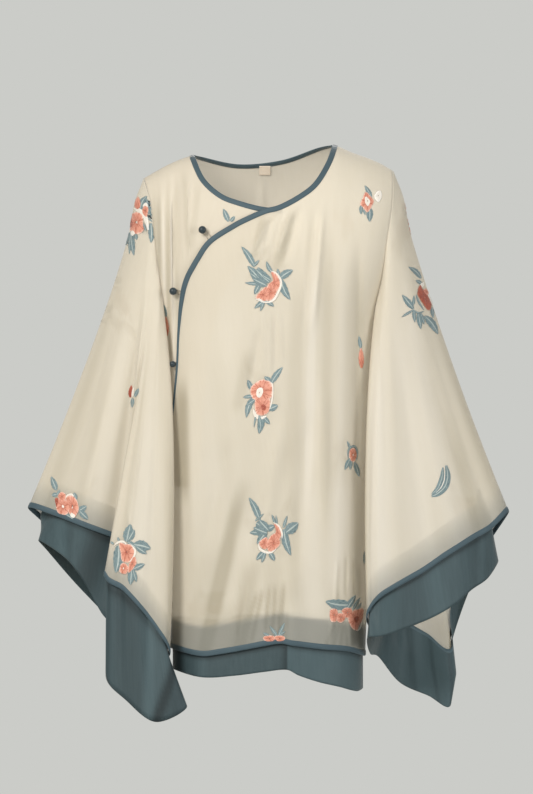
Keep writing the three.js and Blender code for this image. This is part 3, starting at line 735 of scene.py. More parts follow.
# %% The loops of both sleeves
SLEEVES = {
    "right": dict(
        way=-1, armhole=armhole_right, top=ARM_TOP_RIGHT,
        # painted shade, listed as folds with a strength instead of a height; a negative strength is painted
        # light
        shades=[
            (0.325, 0.315, 0.4, 1.0, 0.008, 1.2), (0.3, 0.275, 0.35, 1.0, 0.016, 0.7),
            (0.36, 0.37, 0.3, 0.75, 0.012, 0.4), (0.1, 0.1, 0.5, 1.0, 0.02, 0.4),
            (0.2, 0.17, 0.4, 1.0, 0.02, 0.45), (0.03, 0.04, 0.2, 1.0, 0.02, 0.5),
            (0.5, 0.52, 0.3, 1.0, 0.02, 0.6), (0.9, 0.9, 0.3, 1.0, 0.03, 0.5),
            (0.75, 0.75, 0.3, 1.0, 0.03, 0.5), (0.42, 0.43, 0.2, 1.0, 0.03, -0.5),
            (0.14, 0.14, 0.2, 0.9, 0.03, -0.4),
        ],
        # painted shade, negative for painted light: place round the border at its top and foot, width and
        # strength
        border_shades=[
            (0.165, 0.14, 0.03, 0.8), (0.09, 0.08, 0.012, 0.3), (0.26, 0.25, 0.03, 0.8),
            (0.545, 0.468, 0.012, 1.2), (0.57, 0.5, 0.02, 0.6), (0.4, 0.41, 0.045, 0.5),
            (0.345, 0.345, 0.012, 0.5), (0.47, 0.45, 0.012, -0.5), (0.06, 0.06, 0.02, -0.4),
        ],
        front=[0, 0.08, 0.16, 0.25, 0.35, 0.47, 0.6, 0.75, 0.92, 1], back=[0.9, 0.72, 0.52, 0.3, 0.12],
        middle=[
            (-255, 0, -270), (-238, -34, -285), (-218, -54, -300), (-204, -62, -318),
            (-196, -68, -335), (-191, -76, -352), (-180, -84, -375), (-163, -90, -405),
            (-141, -84, -445), (-172, -42, -470), (-176, 34, -470), (-186, 70, -430),
            (-206, 72, -380), (-232, 56, -320), (-250, 28, -282),
        ],
        hem=[
            (-360, 0, -538), (-313, -36, -552), (-268, -50, -569), (-230, -52, -584),
            (-212, -60, -602), (-242, -84, -641), (-214, -96, -662), (-176, -100, -705),
            (-147, -90, -752), (-161, -34, -764), (-168, 40, -752), (-194, 84, -700),
            (-242, 84, -650), (-300, 60, -598), (-346, 26, -556),
        ],
        foot=[
            (-345, 0, -588), (-306, -34, -612), (-280, -46, -643), (-250, -50, -695),
            (-224, -58, -730), (-243, -84, -788), (-212, -97, -824), (-168, -102, -856),
            (-121, -92, -834), (-156, -30, -818), (-164, 40, -812), (-190, 86, -770),
            (-238, 88, -714), (-292, 62, -655), (-332, 26, -606),
        ],
        # place round the sleeve at the start and end, the stretch along it, width and height
        folds=[
            (0.29, 0.27, 0.15, 0.75, 0.018, 3.0), (0.23, 0.2, 0.2, 0.9, 0.022, -3.0),
            (0.335, 0.325, 0.3, 1.0, 0.008, 5.0), (0.305, 0.29, 0.3, 1.0, 0.014, -5.0),
            (0.12, 0.11, 0.3, 1.0, 0.02, 3.0), (0.45, 0.46, 0.45, 1.0, 0.016, -3.5),
            (0.5, 0.505, 0.4, 1.0, 0.012, 2.5), (0.38, 0.385, 0.5, 1.0, 0.01, -2.5),
            (0.7, 0.69, 0.2, 1.0, 0.02, 4.0), (0.78, 0.8, 0.25, 1.0, 0.02, -4.0),
            (0.88, 0.87, 0.3, 1.0, 0.018, 4.0), (0.07, 0.06, 0.35, 0.9, 0.014, -2.0),
        ],
    ),
    "left": dict(
        way=1, armhole=armhole_left, top=ARM_TOP_LEFT,
        shades=[
            (0.2, 0.2, 0.72, 1.0, 0.03, 0.4), (0.09, 0.1, 0.62, 1.0, 0.035, 0.75),
            (0.02, 0.03, 0.2, 1.0, 0.016, 0.5), (0.45, 0.46, 0.1, 1.0, 0.02, 0.6),
            (0.9, 0.9, 0.3, 1.0, 0.03, 0.5), (0.8, 0.8, 0.8, 1.0, 0.08, 1.3),
            (0.4, 0.38, 0.08, 0.85, 0.045, -1.0), (0.26, 0.24, 0.12, 0.75, 0.06, -0.7),
            (0.14, 0.16, 0.12, 0.6, 0.04, -0.6),
        ],
        border_shades=[
            (0.12, 0.12, 0.02, 0.3), (0.3, 0.3, 0.03, 0.3), (0.49, 0.49, 0.03, 0.9),
            (0.24, 0.24, 0.02, -0.3), (0.79, 0.8, 0.006, 0.8), (0.74, 0.76, 0.006, 0.7),
            (0.69, 0.7, 0.01, 0.6), (0.84, 0.83, 0.02, -0.7), (0.74, 0.75, 0.08, -0.8),
        ],
        front=[0, 0.1, 0.2, 0.31, 0.43, 0.57, 0.72, 0.9, 1], back=[0.88, 0.74, 0.6, 0.45, 0.3, 0.14],
        middle=[
            (262, 0, -275), (246, -36, -292), (232, -54, -306), (214, -68, -325),
            (198, -78, -345), (180, -86, -370), (163, -92, -400), (147, -88, -440),
            (174, -36, -470), (176, 30, -478), (190, 66, -468), (212, 76, -452),
            (232, 80, -428), (242, 74, -380), (258, 40, -312),
        ],
        hem=[
            (363, 0, -546), (335, -40, -570), (306, -60, -586), (268, -78, -609),
            (234, -88, -632), (192, -97, -655), (163, -98, -675), (148, -88, -702),
            (160, -35, -728), (170, 30, -742), (202, 62, -754), (246, 62, -776),
            (281, 60, -798), (278, 112, -728), (318, 88, -625),
        ],
        foot=[
            (347, 0, -618), (331, -40, -643), (306, -58, -660), (281, -74, -681),
            (243, -86, -702), (190, -96, -722), (166, -97, -728), (149, -90, -731),
            (154, -35, -757), (168, 30, -766), (200, 62, -806), (243, 62, -826),
            (277, 62, -841), (274, 112, -772), (314, 88, -650),
        ],
        folds=[
            (0.31, 0.33, 0.1, 1.0, 0.03, 2.6), (0.25, 0.25, 0.35, 1.0, 0.026, -1.8),
            (0.18, 0.17, 0.3, 1.0, 0.03, 2.2), (0.1, 0.1, 0.45, 1.0, 0.024, -1.6),
            (0.41, 0.42, 0.25, 1.0, 0.016, -3.0), (0.04, 0.04, 0.5, 1.0, 0.016, 1.6),
            (0.72, 0.72, 0.3, 1.0, 0.018, 3.0), (0.66, 0.65, 0.4, 1.0, 0.016, -3.0),
            (0.92, 0.93, 0.25, 1.0, 0.02, 3.5), (0.87, 0.87, 0.3, 1.0, 0.016, -3.0),
        ],
    ),
}
ARM_CLEAR = 0.15


# %% One sleeve as a surface
class Sleeve:
    def __init__(self, word, way, armhole, top, shades, border_shades, front, back, middle, hem, foot, folds):
        self.word, self.way, self.folds = word, way, folds
        self.shades, self.border_shades = shades, border_shades
        count = len(front) + len(back)
        self.under = (len(front) - 1) / count
        self.front_share = profile([(i / count, share) for i, share in enumerate(front)])
        behind = [((len(front) + i) / count, share) for i, share in enumerate(back)]
        self.back_share = profile([(self.under, 1), *behind, (1, 0)])
        self.armhole, self.top = armhole, top
        self.middle, self.hem, self.foot = middle, hem, foot

    def start(self, u):
        """The armhole itself, so that the sleeve leaves no gap at its seam."""
        in_front = u <= self.under
        share = np.where(in_front, self.front_share(u), self.back_share(u))
        z = self.top[1] + (UNDERARM - self.top[1]) * share
        x = self.armhole(z)
        y = np.where(in_front, -depth(FRONT, x, z), depth(BACK, x, z))
        return np.stack([x + self.way * ARM_CLEAR, y, z], axis=1)

    def bare(self, u, v):
        first = self.start(u)
        second, third = (spline(loop, u, True) for loop in (self.middle, self.hem))
        v = np.asarray(v, float)[..., None]
        return first * (1 - v) * (1 - 2 * v) + second * 4 * v * (1 - v) + third * v * (2 * v - 1)

    def lift(self, u, v, folds=None):
        total = np.zeros(len(u))
        for begin, end, low, high, wide, tall in folds or self.folds:
            t = (v - low) / (high - low)
            off = np.abs(u - (begin + (end - begin) * np.clip(t, 0, 1)))
            total += tall * bell(np.minimum(off, 1 - off), wide) * smooth(t / 0.6)
        if folds is None:  # the shoulder rounds over the top of the arm
            total += 5 * bell(np.minimum(u, 1 - u), 0.07) * bell(v - 0.09, 0.07)
        return total

    def point(self, u, v, lift=0.0):
        """Points and outward directions; u runs round the sleeve and v along it."""
        step = 0.002
        v = np.broadcast_to(np.asarray(v, float), u.shape)
        run = self.bare((u + step) % 1, v) - self.bare((u - step) % 1, v)
        down = self.bare(u, v + step) - self.bare(u, v - step)
        out = unit(np.cross(run, down) * self.way)
        height = self.lift(u, v) + lift
        return self.bare(u, v) + out * height[:, None], out

    def per_length(self, u):
        step = 0.002
        reach = self.bare(u, np.ones(len(u))) - self.bare(u, np.full(len(u), 1 - step))
        return step / np.linalg.norm(reach, axis=1)


# %% Sew both sleeves
SLEEVE_COLS, SLEEVE_ROWS = 210, 116
CORNER_IN, CORNER_DOWN, CORNER_REACH = 27.0, 6.0, 0.045
sleeves, sleeve_pieces, cuffs, sleeve_borders = {}, {}, {}, {}
for word, cut in SLEEVES.items():
    sleeve = sleeves[word] = Sleeve(word, **cut)
    u = np.arange(SLEEVE_COLS) / SLEEVE_COLS
    end = 1 - BINDING_COVER * sleeve.per_length(u)
    shares = np.linspace(0, 1, SLEEVE_ROWS + 1)
    wall = np.stack([sleeve.point(u, end * share)[0] for share in shares])
    tone = np.stack([np.clip(sleeve.lift(u, end * share, sleeve.shades), -1, 1.6) for share in shares])
    reach = 1 / sleeve.per_length(u)
    behind = np.stack([0.7 * smooth(((end * share - 1) * reach + BORDER_TOP + 6) / 44) for share in shares])
    outward = (sleeve.way, 0, 0.3)
    sleeve_pieces[word] = cloth(f"sleeve_{word}_silk", wall, CREAM, [f"sleeve_{word}"], outward,
                                ring=True, paint=dict(shade=tone, lining=behind))

    fine = np.arange(2 * SLEEVE_COLS) / (2 * SLEEVE_COLS)
    edge, out = sleeve.point(fine, 1.0)
    seam = sleeve.point(fine, 1 - EDGE_WIDTH * sleeve.per_length(fine))[0]
    cuffs[word] = binding(f"cuff_{word}_bias", edge, seam, out, [f"binding_cuff_{word}"], ring=True)

    above = sleeve.point(u, 1 - BORDER_TOP * sleeve.per_length(u), -BORDER_IN)[0]
    lip = sleeve.point(u, 1.0, -BORDER_IN)[0]
    # the border hangs free of the outer corner, where u is 0 or 1
    from_corner = np.minimum(u, 1 - u)
    pull = np.array([[-CORNER_IN * sleeve.way, 0, -CORNER_DOWN]])
    corner = bell(from_corner, CORNER_REACH)[:, None] * pull
    above, lip = above + corner, lip + corner
    foot = spline(sleeve.foot, u, True)
    inside = [above + (lip - above) * t for t in np.linspace(0, 1, 9)[:-1]]
    hanging = [lip + (foot - lip) * t for t in np.linspace(0, 1, 17)]
    down = np.concatenate([np.zeros(len(inside)), np.linspace(0, 1, len(hanging))])[:, None]
    tone = sum(strength * np.exp(-np.abs((u - (top + (low - top) * down)) / wide) ** 3)
               for top, low, wide, strength in sleeve.border_shades)
    # in front, the cuff throws a shadow on the rows just below it
    row = np.arange(len(down))[:, None]
    shadow = (0.7 + 0.5 * bell(from_corner, 0.05)) * (u < sleeve.under)
    tone = tone + shadow * bell(row - len(inside) - 0.7, 1.1)
    sleeve_borders[word] = cloth(
        f"border_sleeve_{word}_satin", np.stack(inside + hanging), TEAL,
        [f"border_sleeve_{word}"], outward, ring=True, paint=dict(shade=np.clip(tone, -1, 1.3)))

# %% [markdown]
# ## Silk embroidery
# The peonies and leaves are satin stitch, a little raised. Each motif is a chart in
# millimetres around its own middle, and three kinds of patch are enough: a `blade` from
# base to tip, a `bloom` that fills an outline from its heart, and a `ribbon` along a line.

# %% Patches of stitches, charted flat
def blade(base, tip, width, bend=0.0):
    """A leaf or a long petal; s runs across it and t from base to tip."""
    base, tip = np.array(base, float), np.array(tip, float)
    t, s = np.meshgrid(np.linspace(0, 1, 13), np.linspace(-1, 1, 9), indexing="ij")
    run = tip - base
    length = max(float(np.linalg.norm(run)), 0.1)
    side = np.array([run[1], -run[0]]) / length
    half = 0.58 * width * np.sin(math.pi * np.clip(t, 0.02, 0.985) ** 0.8) ** 0.65
    half *= 1 + 0.09 * np.sin(9 * math.pi * t) * np.abs(s)  # toothed edge
    sway = bend * np.sin(math.pi * t)
    flat = base + run * t[..., None] + side * (s * half + sway)[..., None]
    rise = 0.62 * np.sqrt(1 - 0.96 * s * s)
    return flat, rise, np.stack([s, t], -1), np.stack([s * width, t * length], -1) * MM


def bloom(outline, heart=0.12, lobes=5):
    """A flower or a single petal; v runs from the heart to the rim."""
    v, u = np.meshgrid(np.linspace(heart, 1, 9), np.linspace(0, 1, 61), indexing="ij")
    rim = spline(outline, u[0], True)
    middle = rim[:-1].mean(axis=0)
    scallop = 1 + 0.05 * np.abs(np.sin(math.pi * lobes * u)) * v
    flat = middle + (rim[None] - middle) * (v * scallop)[..., None]
    rise = 0.45 + 0.45 * np.sin(math.pi * v) ** 0.7 - 0.25 * v**8
    size = float(np.linalg.norm(rim - middle, axis=1).mean())
    return flat, rise, np.stack([u * lobes, v], -1), np.stack([u * 6 * size, v * size], -1) * MM


def ribbon(points, width):
    """A curved band that tapers to both ends."""
    t, s = np.meshgrid(np.linspace(0, 1, 25), np.linspace(-1, 1, 7), indexing="ij")
    line = spline(points, t[:, 0])
    run = unit(np.gradient(line, axis=0))
    side = np.stack([run[:, 1], -run[:, 0]], -1)
    half = 0.5 * width * np.sin(math.pi * np.clip(t, 0.03, 0.97)) ** 0.5
    flat = line[:, None] + side[:, None] * (s * half)[..., None]
    rise = 0.6 * np.sqrt(1 - 0.96 * s * s)
    length = float(np.linalg.norm(np.diff(line, axis=0), axis=1).sum())
    return flat, rise, np.stack([s, t], -1), np.stack([s * width, t * length], -1) * MM


# %% [markdown]
# ## The charts
# Every row names its thread and its kind of patch, and then gives the patches. The first
# ones lie lowest.

# %% Charts of the motifs, in millimetres
PEONY_TURNED = [  # crescent bloom under a long leaf
    ("leaf", blade, ((-6, -3), (-26, 10), 11), ((-8, -2), (-30, 21), 10), ((-3, 0), (-15, 19), 9),
     ((-1, -2), (-5, 11), 8), ((-10, -6), (-34, -4), 5), ((-12, -5), (-20, -21), 7),
     ((-20, 20), (-39, 50), 8, 1.5), ((-21, 21), (-13, 30), 4), ((7, 11), (-2, 28), 5.5, -1.5),
     ((17, 2), (14.5, 17), 5), ((18, 3), (37, 15), 10, -1), ((19, 2), (33, -29), 10, 2),
     ((-4, -29), (-20, -42), 6), ((-5, -29), (-11, -46), 4.5), ((-3, -30), (9, -39), 6),
     ((-2, -8), (-22, 2), 10), ((2, -3), (-18, 16), 12), ((4, 0), (-9, 8), 8)),
    ("white", ribbon, ([(4, 14), (13, 10), (20, -3), (15, -19), (8, -30), (-4, -33), (-18, -28)], 3.4)),
    ("coral", bloom, ([(5, 12), (12, 9), (18, -3), (14, -16), (6, -16), (3, -6), (8, 1)], 0.05, 4),
     ([(3, -4), (9, -8), (13, -17), (7, -28), (-2, -30), (-3, -16)], 0.05, 5),
     ([(-2, -10), (2, -20), (-3, -30), (-12, -29), (-18, -25), (-10, -16)], 0.05, 4)),
    ("white", blade, ((-17, -24), (-8, -31), 3)), ("dark", blade, ((2, -14), (-8, -23), 2.4)),
]
PEONY_UPRIGHT = [  # two blooms, one above the other
    ("leaf", blade, ((14, 26), (31, 50), 8, -1), ((14, 27), (4, 36), 7), ((-15, 16), (-21, 31), 7),
     ((-14, 7), (-28, 5), 5), ((-13, 5), (-23, -25), 8, 2), ((10, -13), (24, -7), 9),
     ((1, -23), (-4, -49), 9), ((2, -24), (12, -35), 6), ((-8, -18), (-12, -40), 2.4)),
    ("white", ribbon, ([(12, 27), (16, 24), (16, 6), (13, -8), (10, -15)], 2.4),
     ([(-13, -13), (-9, -22), (-2, -26), (7, -23)], 6)),
    ("leaf", blade, ((-10, 2), (-22, -6), 6), ((-4, -22), (-1, -44), 6)),
    ("coral", bloom, ([(-17, 13), (-12, 24), (2, 31), (14, 25), (14, 6), (2, 0), (-9, -1)], 0.1, 6),
     ([(-9, 1), (1, 3), (11, 3), (12, -8), (9, -17), (1, -22), (-8, -19), (-10, -10)], 0.1, 5)),
    ("dark", ribbon, ([(-14, 14), (-9, 22), (0, 26), (8, 22)], 2.4), ([(4, 18), (9, 10), (8, 3)], 2)),
    ("white", bloom, ([(-9, 11), (-6, 19), (1, 20), (2, 12), (-2, 4), (-7, 5)], 0.1, 3)),
    ("dark", bloom, ([(-1, -7), (3, -5), (7, -9), (5, -15), (0, -14)], 0.1, 3)),
]
PEONY_LOW = [  # as the turned peony, with crossed stems
    ("leaf", blade, ((-20, 9), (-3, 0), 14), ((-6, -3), (-30, -6), 9), ((-5, -4), (-19, -22), 10),
     ((-6, -1), (7, 5), 9), ((-15, 14), (-31, 47), 9, 1.5), ((-22, 12), (-9, 23), 3.4),
     ((8, 8), (3, 22), 3.6), ((11, 5), (9, 21), 2.6), ((20, 2), (26, 20), 4), ((24, -5), (42, 9), 14),
     ((21, 0), (31, -39), 10, 2), ((-8, -33), (-20, -46), 7), ((-7, -34), (-12, -50), 5),
     ((0, -35), (7, -47), 7), ((-4, -6), (-24, 2), 10), ((-2, -2), (-16, 14), 10)),
    ("white", ribbon, ([(5, 10), (13, 5), (18, -6), (18, -14)], 3),
     ([(-17, -21), (-15, -29), (-8, -34), (1, -35), (9, -30)], 3.6)),
    ("coral", bloom, ([(6, 8), (13, 3), (17, -9), (12, -16), (8, -9), (9, -1)], 0.05, 3),
     ([(5, -7), (13, -12), (15, -22), (7, -31), (-1, -33), (-5, -22)], 0.05, 4),
     ([(-5, -12), (-3, -22), (-6, -30), (-14, -26), (-15, -19)], 0.05, 3)),
]
BUDDING_HEM = [
    ("leaf", blade, ((8, -3), (-3, 12), 4.5), ((10, -2), (19, 17), 4.5), ((8, -3), (20, 4), 4),
     ((-3, -4), (-13, 2), 4)),
    ("coral", bloom, ([(-13, -5), (-4, -2), (4, -4), (3, -11), (-8, -11)], 0.1, 3),
     ([(4, -4), (12, -2), (19, -4), (18, -10), (8, -11)], 0.1, 3)),
]
PEONY_SPRAY = [  # low on the right, a garland of coral knots
    ("leaf", blade, ((8, 11), (-29, 17), 14, -2), ((3, 6), (16, 25), 8), ((12, 4), (23, 21), 5),
     ((17, 1), (25, 13), 4)),
    ("white", ribbon, ([(24, -2), (29, 3), (29, -6), (23, -24), (18, -29)], 3)),
    ("coral", bloom, ([(-23, 2), (-18, 6), (-12, 4), (-11, -6), (-14, -13), (-21, -12)], 0.1, 4),
     ([(-12, -3), (-7, -1), (0, -3), (0, -10), (-6, -15), (-12, -12)], 0.1, 4),
     ([(-5, 3), (2, 7), (9, 5), (11, -3), (5, -9), (-2, -4)], 0.1, 4),
     ([(8, -2), (16, 3), (27, 4), (27, -8), (21, -22), (18, -28), (11, -24), (5, -12)], 0.1, 6)),
    ("dark", bloom, ([(12, -8), (19, -5), (21, -12), (15, -18)], 0.1, 3)),
]
PEONY_SHOULDER = [
    ("leaf", blade, ((5, 12), (15, 33), 9, -2), ((19, 6), (15, 29), 5), ((26, -4), (21, 28), 6, -1),
     ((16, 1), (24, -6), 2.4), ((22, -8), (22, -37), 9, -1), ((-8, -19), (-4, -56), 8, 1),
     ((-9, -22), (-11, -54), 4.5), ((-1, -24), (0, -33), 4.5), ((-12, -22), (-18, -42), 5)),
    ("coral", blade, ((1, 12), (2, 32), 8)),
    ("white", ribbon, ([(-4, 14), (6, 10), (14, 0), (18, -18)], 7)),
    ("white", blade, ((13, 14), (14.5, 23), 7)),
    ("coral", bloom, ([(14, 19), (18, 14), (17, 6), (15, 1), (10, 6), (9, 12), (11, 17)], 0.1, 4),
     ([(-5, 7), (2, 8), (9, 4), (10, -8), (11, -18), (1, -24), (-9, -19), (-11, -9), (-8, 2)], 0.1, 7)),
    ("dark", bloom, ([(-9, -2), (-5, -5), (-5, -13), (-9, -14)], 0.1, 3)),
    ("white", ribbon, ([(-6, -8), (-4, -1), (1, -2), (1.5, -9), (0, -15)], 3)),
    ("white", blade, ((-5, -19), (-6, -27), 6)), ("leaf", blade, ((11, -9), (15, -20), 3)),
]
DIAMOND = [  # small, below the left of the neck
    ("leaf", blade, ((4, 9), (-6, 26), 6), ((1, -7), (1, -28), 9), ((-12, -4), (-12, -17), 5),
     ((-8, -10), (-6, -18), 3)),
    ("white", bloom, ([(8, 9), (12, 16), (17, 18), (19, 9), (14, 2)], 0.1, 3)),
    ("coral", bloom, ([(-5, 16), (2, 10), (7, 3), (4, -5), (-2, -14), (-8, -8), (-13, -2), (-9, 8)], 0.2, 6)),
    ("white", bloom, ([(-6, 12), (1, 6), (3, 1), (-2, -8), (-8, 2)], 0.1, 3)),
    ("leaf", blade, ((1, -3), (0, 7), 2.4)),
]
CRESCENT = [  # high on the left sleeve
    ("leaf", blade, ((1, 28), (-18, 45), 7, 2), ((2, 20), (-7, 25), 5), ((-11, -18), (-28, 3), 8),
     ((-11, -12), (-10, 2), 4)),
    ("leaf", ribbon, ([(-7, 3), (-3, -8), (5, -20)], 3)),
    ("leaf", blade, ((-12, -20), (-29, -30), 3.4), ((-11, -20), (-9, -38), 5), ((-4, -25), (0, -48), 7),
     ((0, -25), (5, -41), 5)),
    ("leaf", ribbon, ([(5, -22), (-4, -24), (-12, -19)], 3)),
    ("leaf", blade, ((17, -16), (19, -32), 5), ((6, -29), (26, -56), 10, -2)),
    ("white", blade, ((0, 14), (5, 22), 5)), ("white", ribbon, ([(11, 3), (16, -5), (18, -13)], 3.4)),
    ("coral", bloom, ([(4, 10), (8, 12), (12, 6), (9, 2), (5, 4)], 0.1, 3)),
    ("dark", bloom, ([(-1, 17), (3, 11), (11, 0), (16, -13), (11, -20), (1, -7), (-5, 5)], 0.05, 9)),
    ("coral", ribbon, ([(0, 12), (4, 2), (10, -8), (13, -16)], 4.4)),
]
TWIN_BLOOM = [  # low on the right sleeve
    ("leaf", blade, ((-18, 9), (-26, 29), 8), ((-17, 3), (-25, 1), 6), ((-17, 1), (-13, 10), 4),
     ((12, -5), (9, 6), 6), ((17, -21), (28, -14), 8), ((17, -21), (30, -34), 8), ((-3, -27), (8, -34), 5)),
    ("white", ribbon, ([(-4, -4), (-1, 1), (5, 3), (9, 0)], 3.4)),
    ("dark", bloom, ([(-20, -4), (-16, -3), (-14, -9), (-17, -18), (-19, -11)], 0.1, 3)),
    ("coral", bloom, ([(-15, 2), (-10, 6), (-4, 3), (-4, -5), (-9, -7), (-14, -4)], 0.1, 3),
     ([(-15, -5), (-7, -5), (0, -8), (3, -19), (-3, -27), (-13, -26), (-18, -17)], 0.1, 6),
     ([(-3, -2), (6, 1), (13, -6), (16, -16), (14, -25), (8, -31), (2, -24), (0, -13)], 0.1, 6)),
    ("white", blade, ((-3, -23), (-12, -6), 9)), ("dark", blade, ((10, -18), (9, -6), 4)),
    ("white", blade, ((5, -24), (7, -15), 3.4), ((6, -24), (9, -32), 7)),
]
PEONY_CUFF = [  # low at the front of the right sleeve
    ("leaf", blade, ((-18, 12), (-22, -28), 14, -2), ((-6, 18), (0, 44), 13), ((-3, 20), (6, 36), 9),
     ((-4, 18), (9, 9), 7), ((5, 14), (30, 8), 14, -1), ((9, 11), (24, 0), 8), ((-17, 18), (-19, 25), 3),
     ((-25, 14), (-30, 18), 3), ((4, -23), (21, -15), 8), ((2, -24), (0, -46), 9), ((4, -24), (9, -42), 6)),
    ("white", ribbon, ([(-24, 12), (-18, 17), (-11, 18), (-6, 14)], 3.4)),
    ("coral", bloom,
     ([(-16, 16), (-8, 14), (1, 13), (6, 4), (4, -6), (-2, -12), (-12, -11), (-15, 3)], 0.1, 7),
     ([(6, -3), (9, -13), (4, -22), (-3, -28), (-2, -16), (2, -8)], 0.1, 4)),
    ("white", ribbon, ([(2, 13), (7, 5), (5, -4), (-1, -12)], 3.4)),
    ("coral", bloom, ([(-9, -14), (-3, -21), (-7, -30), (-16, -27), (-15, -17)], 0.1, 4)),
    ("dark", ribbon, ([(-12, 12), (-7, 5), (-5, -4)], 2.2)), ("white", blade, ((-9, -17), (-11, -28), 4)),
]
BUD = [
    ("leaf", blade, ((-3, 15), (-7, 26), 3.6)),
    ("leaf", ribbon, ([(-6, 0), (-5, 13), (3, 18), (8, 10), (7, -3)], 3.6)),
    ("leaf", blade, ((-3, 0), (-11, -17), 6), ((-1, -4), (-3, -17), 4.5), ((4, -6), (11, -28), 6.5)),
    ("coral", bloom, ([(-3, 13), (4, 14), (7, 4), (2, -6), (-4, 1)], 0.1, 3)),
    ("white", blade, ((2, -5), (1, 11), 7)),
]
FEATHER = [
    ("leaf", ribbon, ([(8, 25), (10, 9), (6, -6), (-4, -16), (-14, -21)], 11),
     ([(3, 22), (1, 6), (-5, -9), (-14, -18)], 7)),
    ("white", ribbon, ([(6, 18), (5, 4), (0, -8), (-8, -16)], 1.4)),
]
FOLD_BUD = [
    ("leaf", blade, ((3, -4), (9, 9), 5), ((0, -6), (-1, -20), 5)),
    ("dark", blade, ((-4, -5), (-2, 13), 6)), ("white", blade, ((-1, -5), (1, 10), 3.4)),
]
LEAF_PAIR = [("leaf", blade, ((0, -10), (-8, 9), 7), ((3, -10), (9, -2), 5))]
SLIVER = [("leaf", blade, ((0, 11), (-3, 30), 5)), ("coral", blade, ((1, -18), (0, 13), 7))]
DROP = [("leaf", blade, ((0, -9), (0, 9), 3.6))]


# %% [markdown]
# ## Laying the stitches on the cloth
# A chart is held flat in front of the robe and pressed straight back onto the piece it
# belongs to. Where the piece turns away at its side, the nearest spot of cloth is used.

# %% Press the charts onto the cloth
START = 0.6  # metres in front of the middle plane
TOO_DEEP = 0.045  # farther than this from the motif's middle is another layer
PADDING = 0.75
LAYER = 0.05  # millimetres that each patch lies over the one before
LEAF_PITCH, PETAL_PITCH = 0.0009, 0.0011  # metres from thread to thread


def tree_of(piece):
    mesh = piece.data
    return BVHTree.FromPolygons([v.co for v in mesh.vertices], [face.vertices for face in mesh.polygons])


def new_heap():
    return dict(points=[], faces=[], part=[], cloth=[])


def press(tree, place, facing, patch, level, heap, mirror):
    """Adds one patch; facing is the angle of the flat chart, with 0 in front and 180 behind."""
    flat, rise, part, length = patch
    angle = math.radians(facing)
    into = Vector((math.sin(angle), math.cos(angle), 0))
    right = Vector((math.cos(angle), -math.sin(angle), 0))
    middle = Vector((place[0] * MM, 0, place[1] * MM))
    anchor = tree.ray_cast(middle - into * START, into)[0]
    base = len(heap["points"])
    for (a, b), high in zip(flat.reshape(-1, 2), rise.ravel()):
        spot = middle + right * (a * MM * mirror) + Vector((0, 0, b * MM))
        hit, normal, _, _ = tree.ray_cast(spot - into * START, into)
        if hit is None or abs((hit - anchor).dot(into)) > TOO_DEEP:
            near = spot + into * (anchor - spot).dot(into)
            hit, normal, _, _ = tree.find_nearest(near)
        if normal.dot(into) > 0:
            normal = -normal
        heap["points"].append(hit + normal * ((high * PADDING + level) * MM))
    for corners in quads(*flat.shape[:2]):
        heap["faces"].append([base + k for k in corners])
        heap["part"] += [part.reshape(-1, 2)[k] for k in corners]
        heap["cloth"] += [length.reshape(-1, 2)[k] for k in corners]


def stitch(piece, chart, x, z, facing=0, mirror=1):
    patches = [(heaps[thread], kind(*numbers)) for thread, kind, *group in chart for numbers in group]
    for order, (heap, patch) in enumerate(patches):
        press(trees[piece.name], (x, z), facing, patch, LAYER + LAYER * order, heap, mirror)


def thread_material(name, heart, mid, rim, rib):
    """Satin stitch: colour from heart to rim, and long threads that catch the light."""
    silk = Finish(name, Roughness=0.42, Sheen_Weight=0.3, Sheen_Roughness=0.3, Specular_IOR_Level=0.5)
    s, t = silk.split_uv("part")
    u, v = silk.split_uv()
    grain = silk.noise(900.0, 2.0, (1.0, 0.25, 1.0), "UV")
    if rib:  # a leaf: light midrib, threads slanting away from it
        # the pale midrib is a painted highlight along the raised middle of the leaf's stitches
        away = s.absolute()
        silk.set(Base_Color=silk.blend((away < 0.14) * 0.75, silk.blend(grain * 2.4 - 0.75, heart, mid), rim))
        threads = (v - u.absolute()).wave(LEAF_PITCH)
    else:
        blotch = silk.noise(330.0, 3.0, (1.0, 0.55, 1.0), "UV")
        # where the petals meet, the colour is darkened toward the heart colour: painted shade between the
        # petals
        gap = ((s.fraction() - 0.5).absolute() > 0.44) * 0.55
        spread = silk.ramp(t * 0.35 + blotch * 1.5 + grain * 0.3, 0.74, 1.2)
        edge = silk.ramp(t + blotch * 0.5 + grain * 0.2, 1.2, 1.42)
        silk.set(Base_Color=silk.blend(gap, silk.blend(edge, silk.blend(spread, heart, mid), rim), heart))
        threads = u.wave(PETAL_PITCH)
    silk.bump(threads * 0.7 + grain * 0.3, 0.45, 0.0003)
    return silk.material


panels = (front_piece, under_piece, back_piece, *sleeve_pieces.values())
trees = {piece.name: tree_of(piece) for piece in panels}
heaps = {word: new_heap() for word in ("leaf", "white", "coral", "dark")}
right_sleeve, left_sleeve = sleeve_pieces["right"], sleeve_pieces["left"]

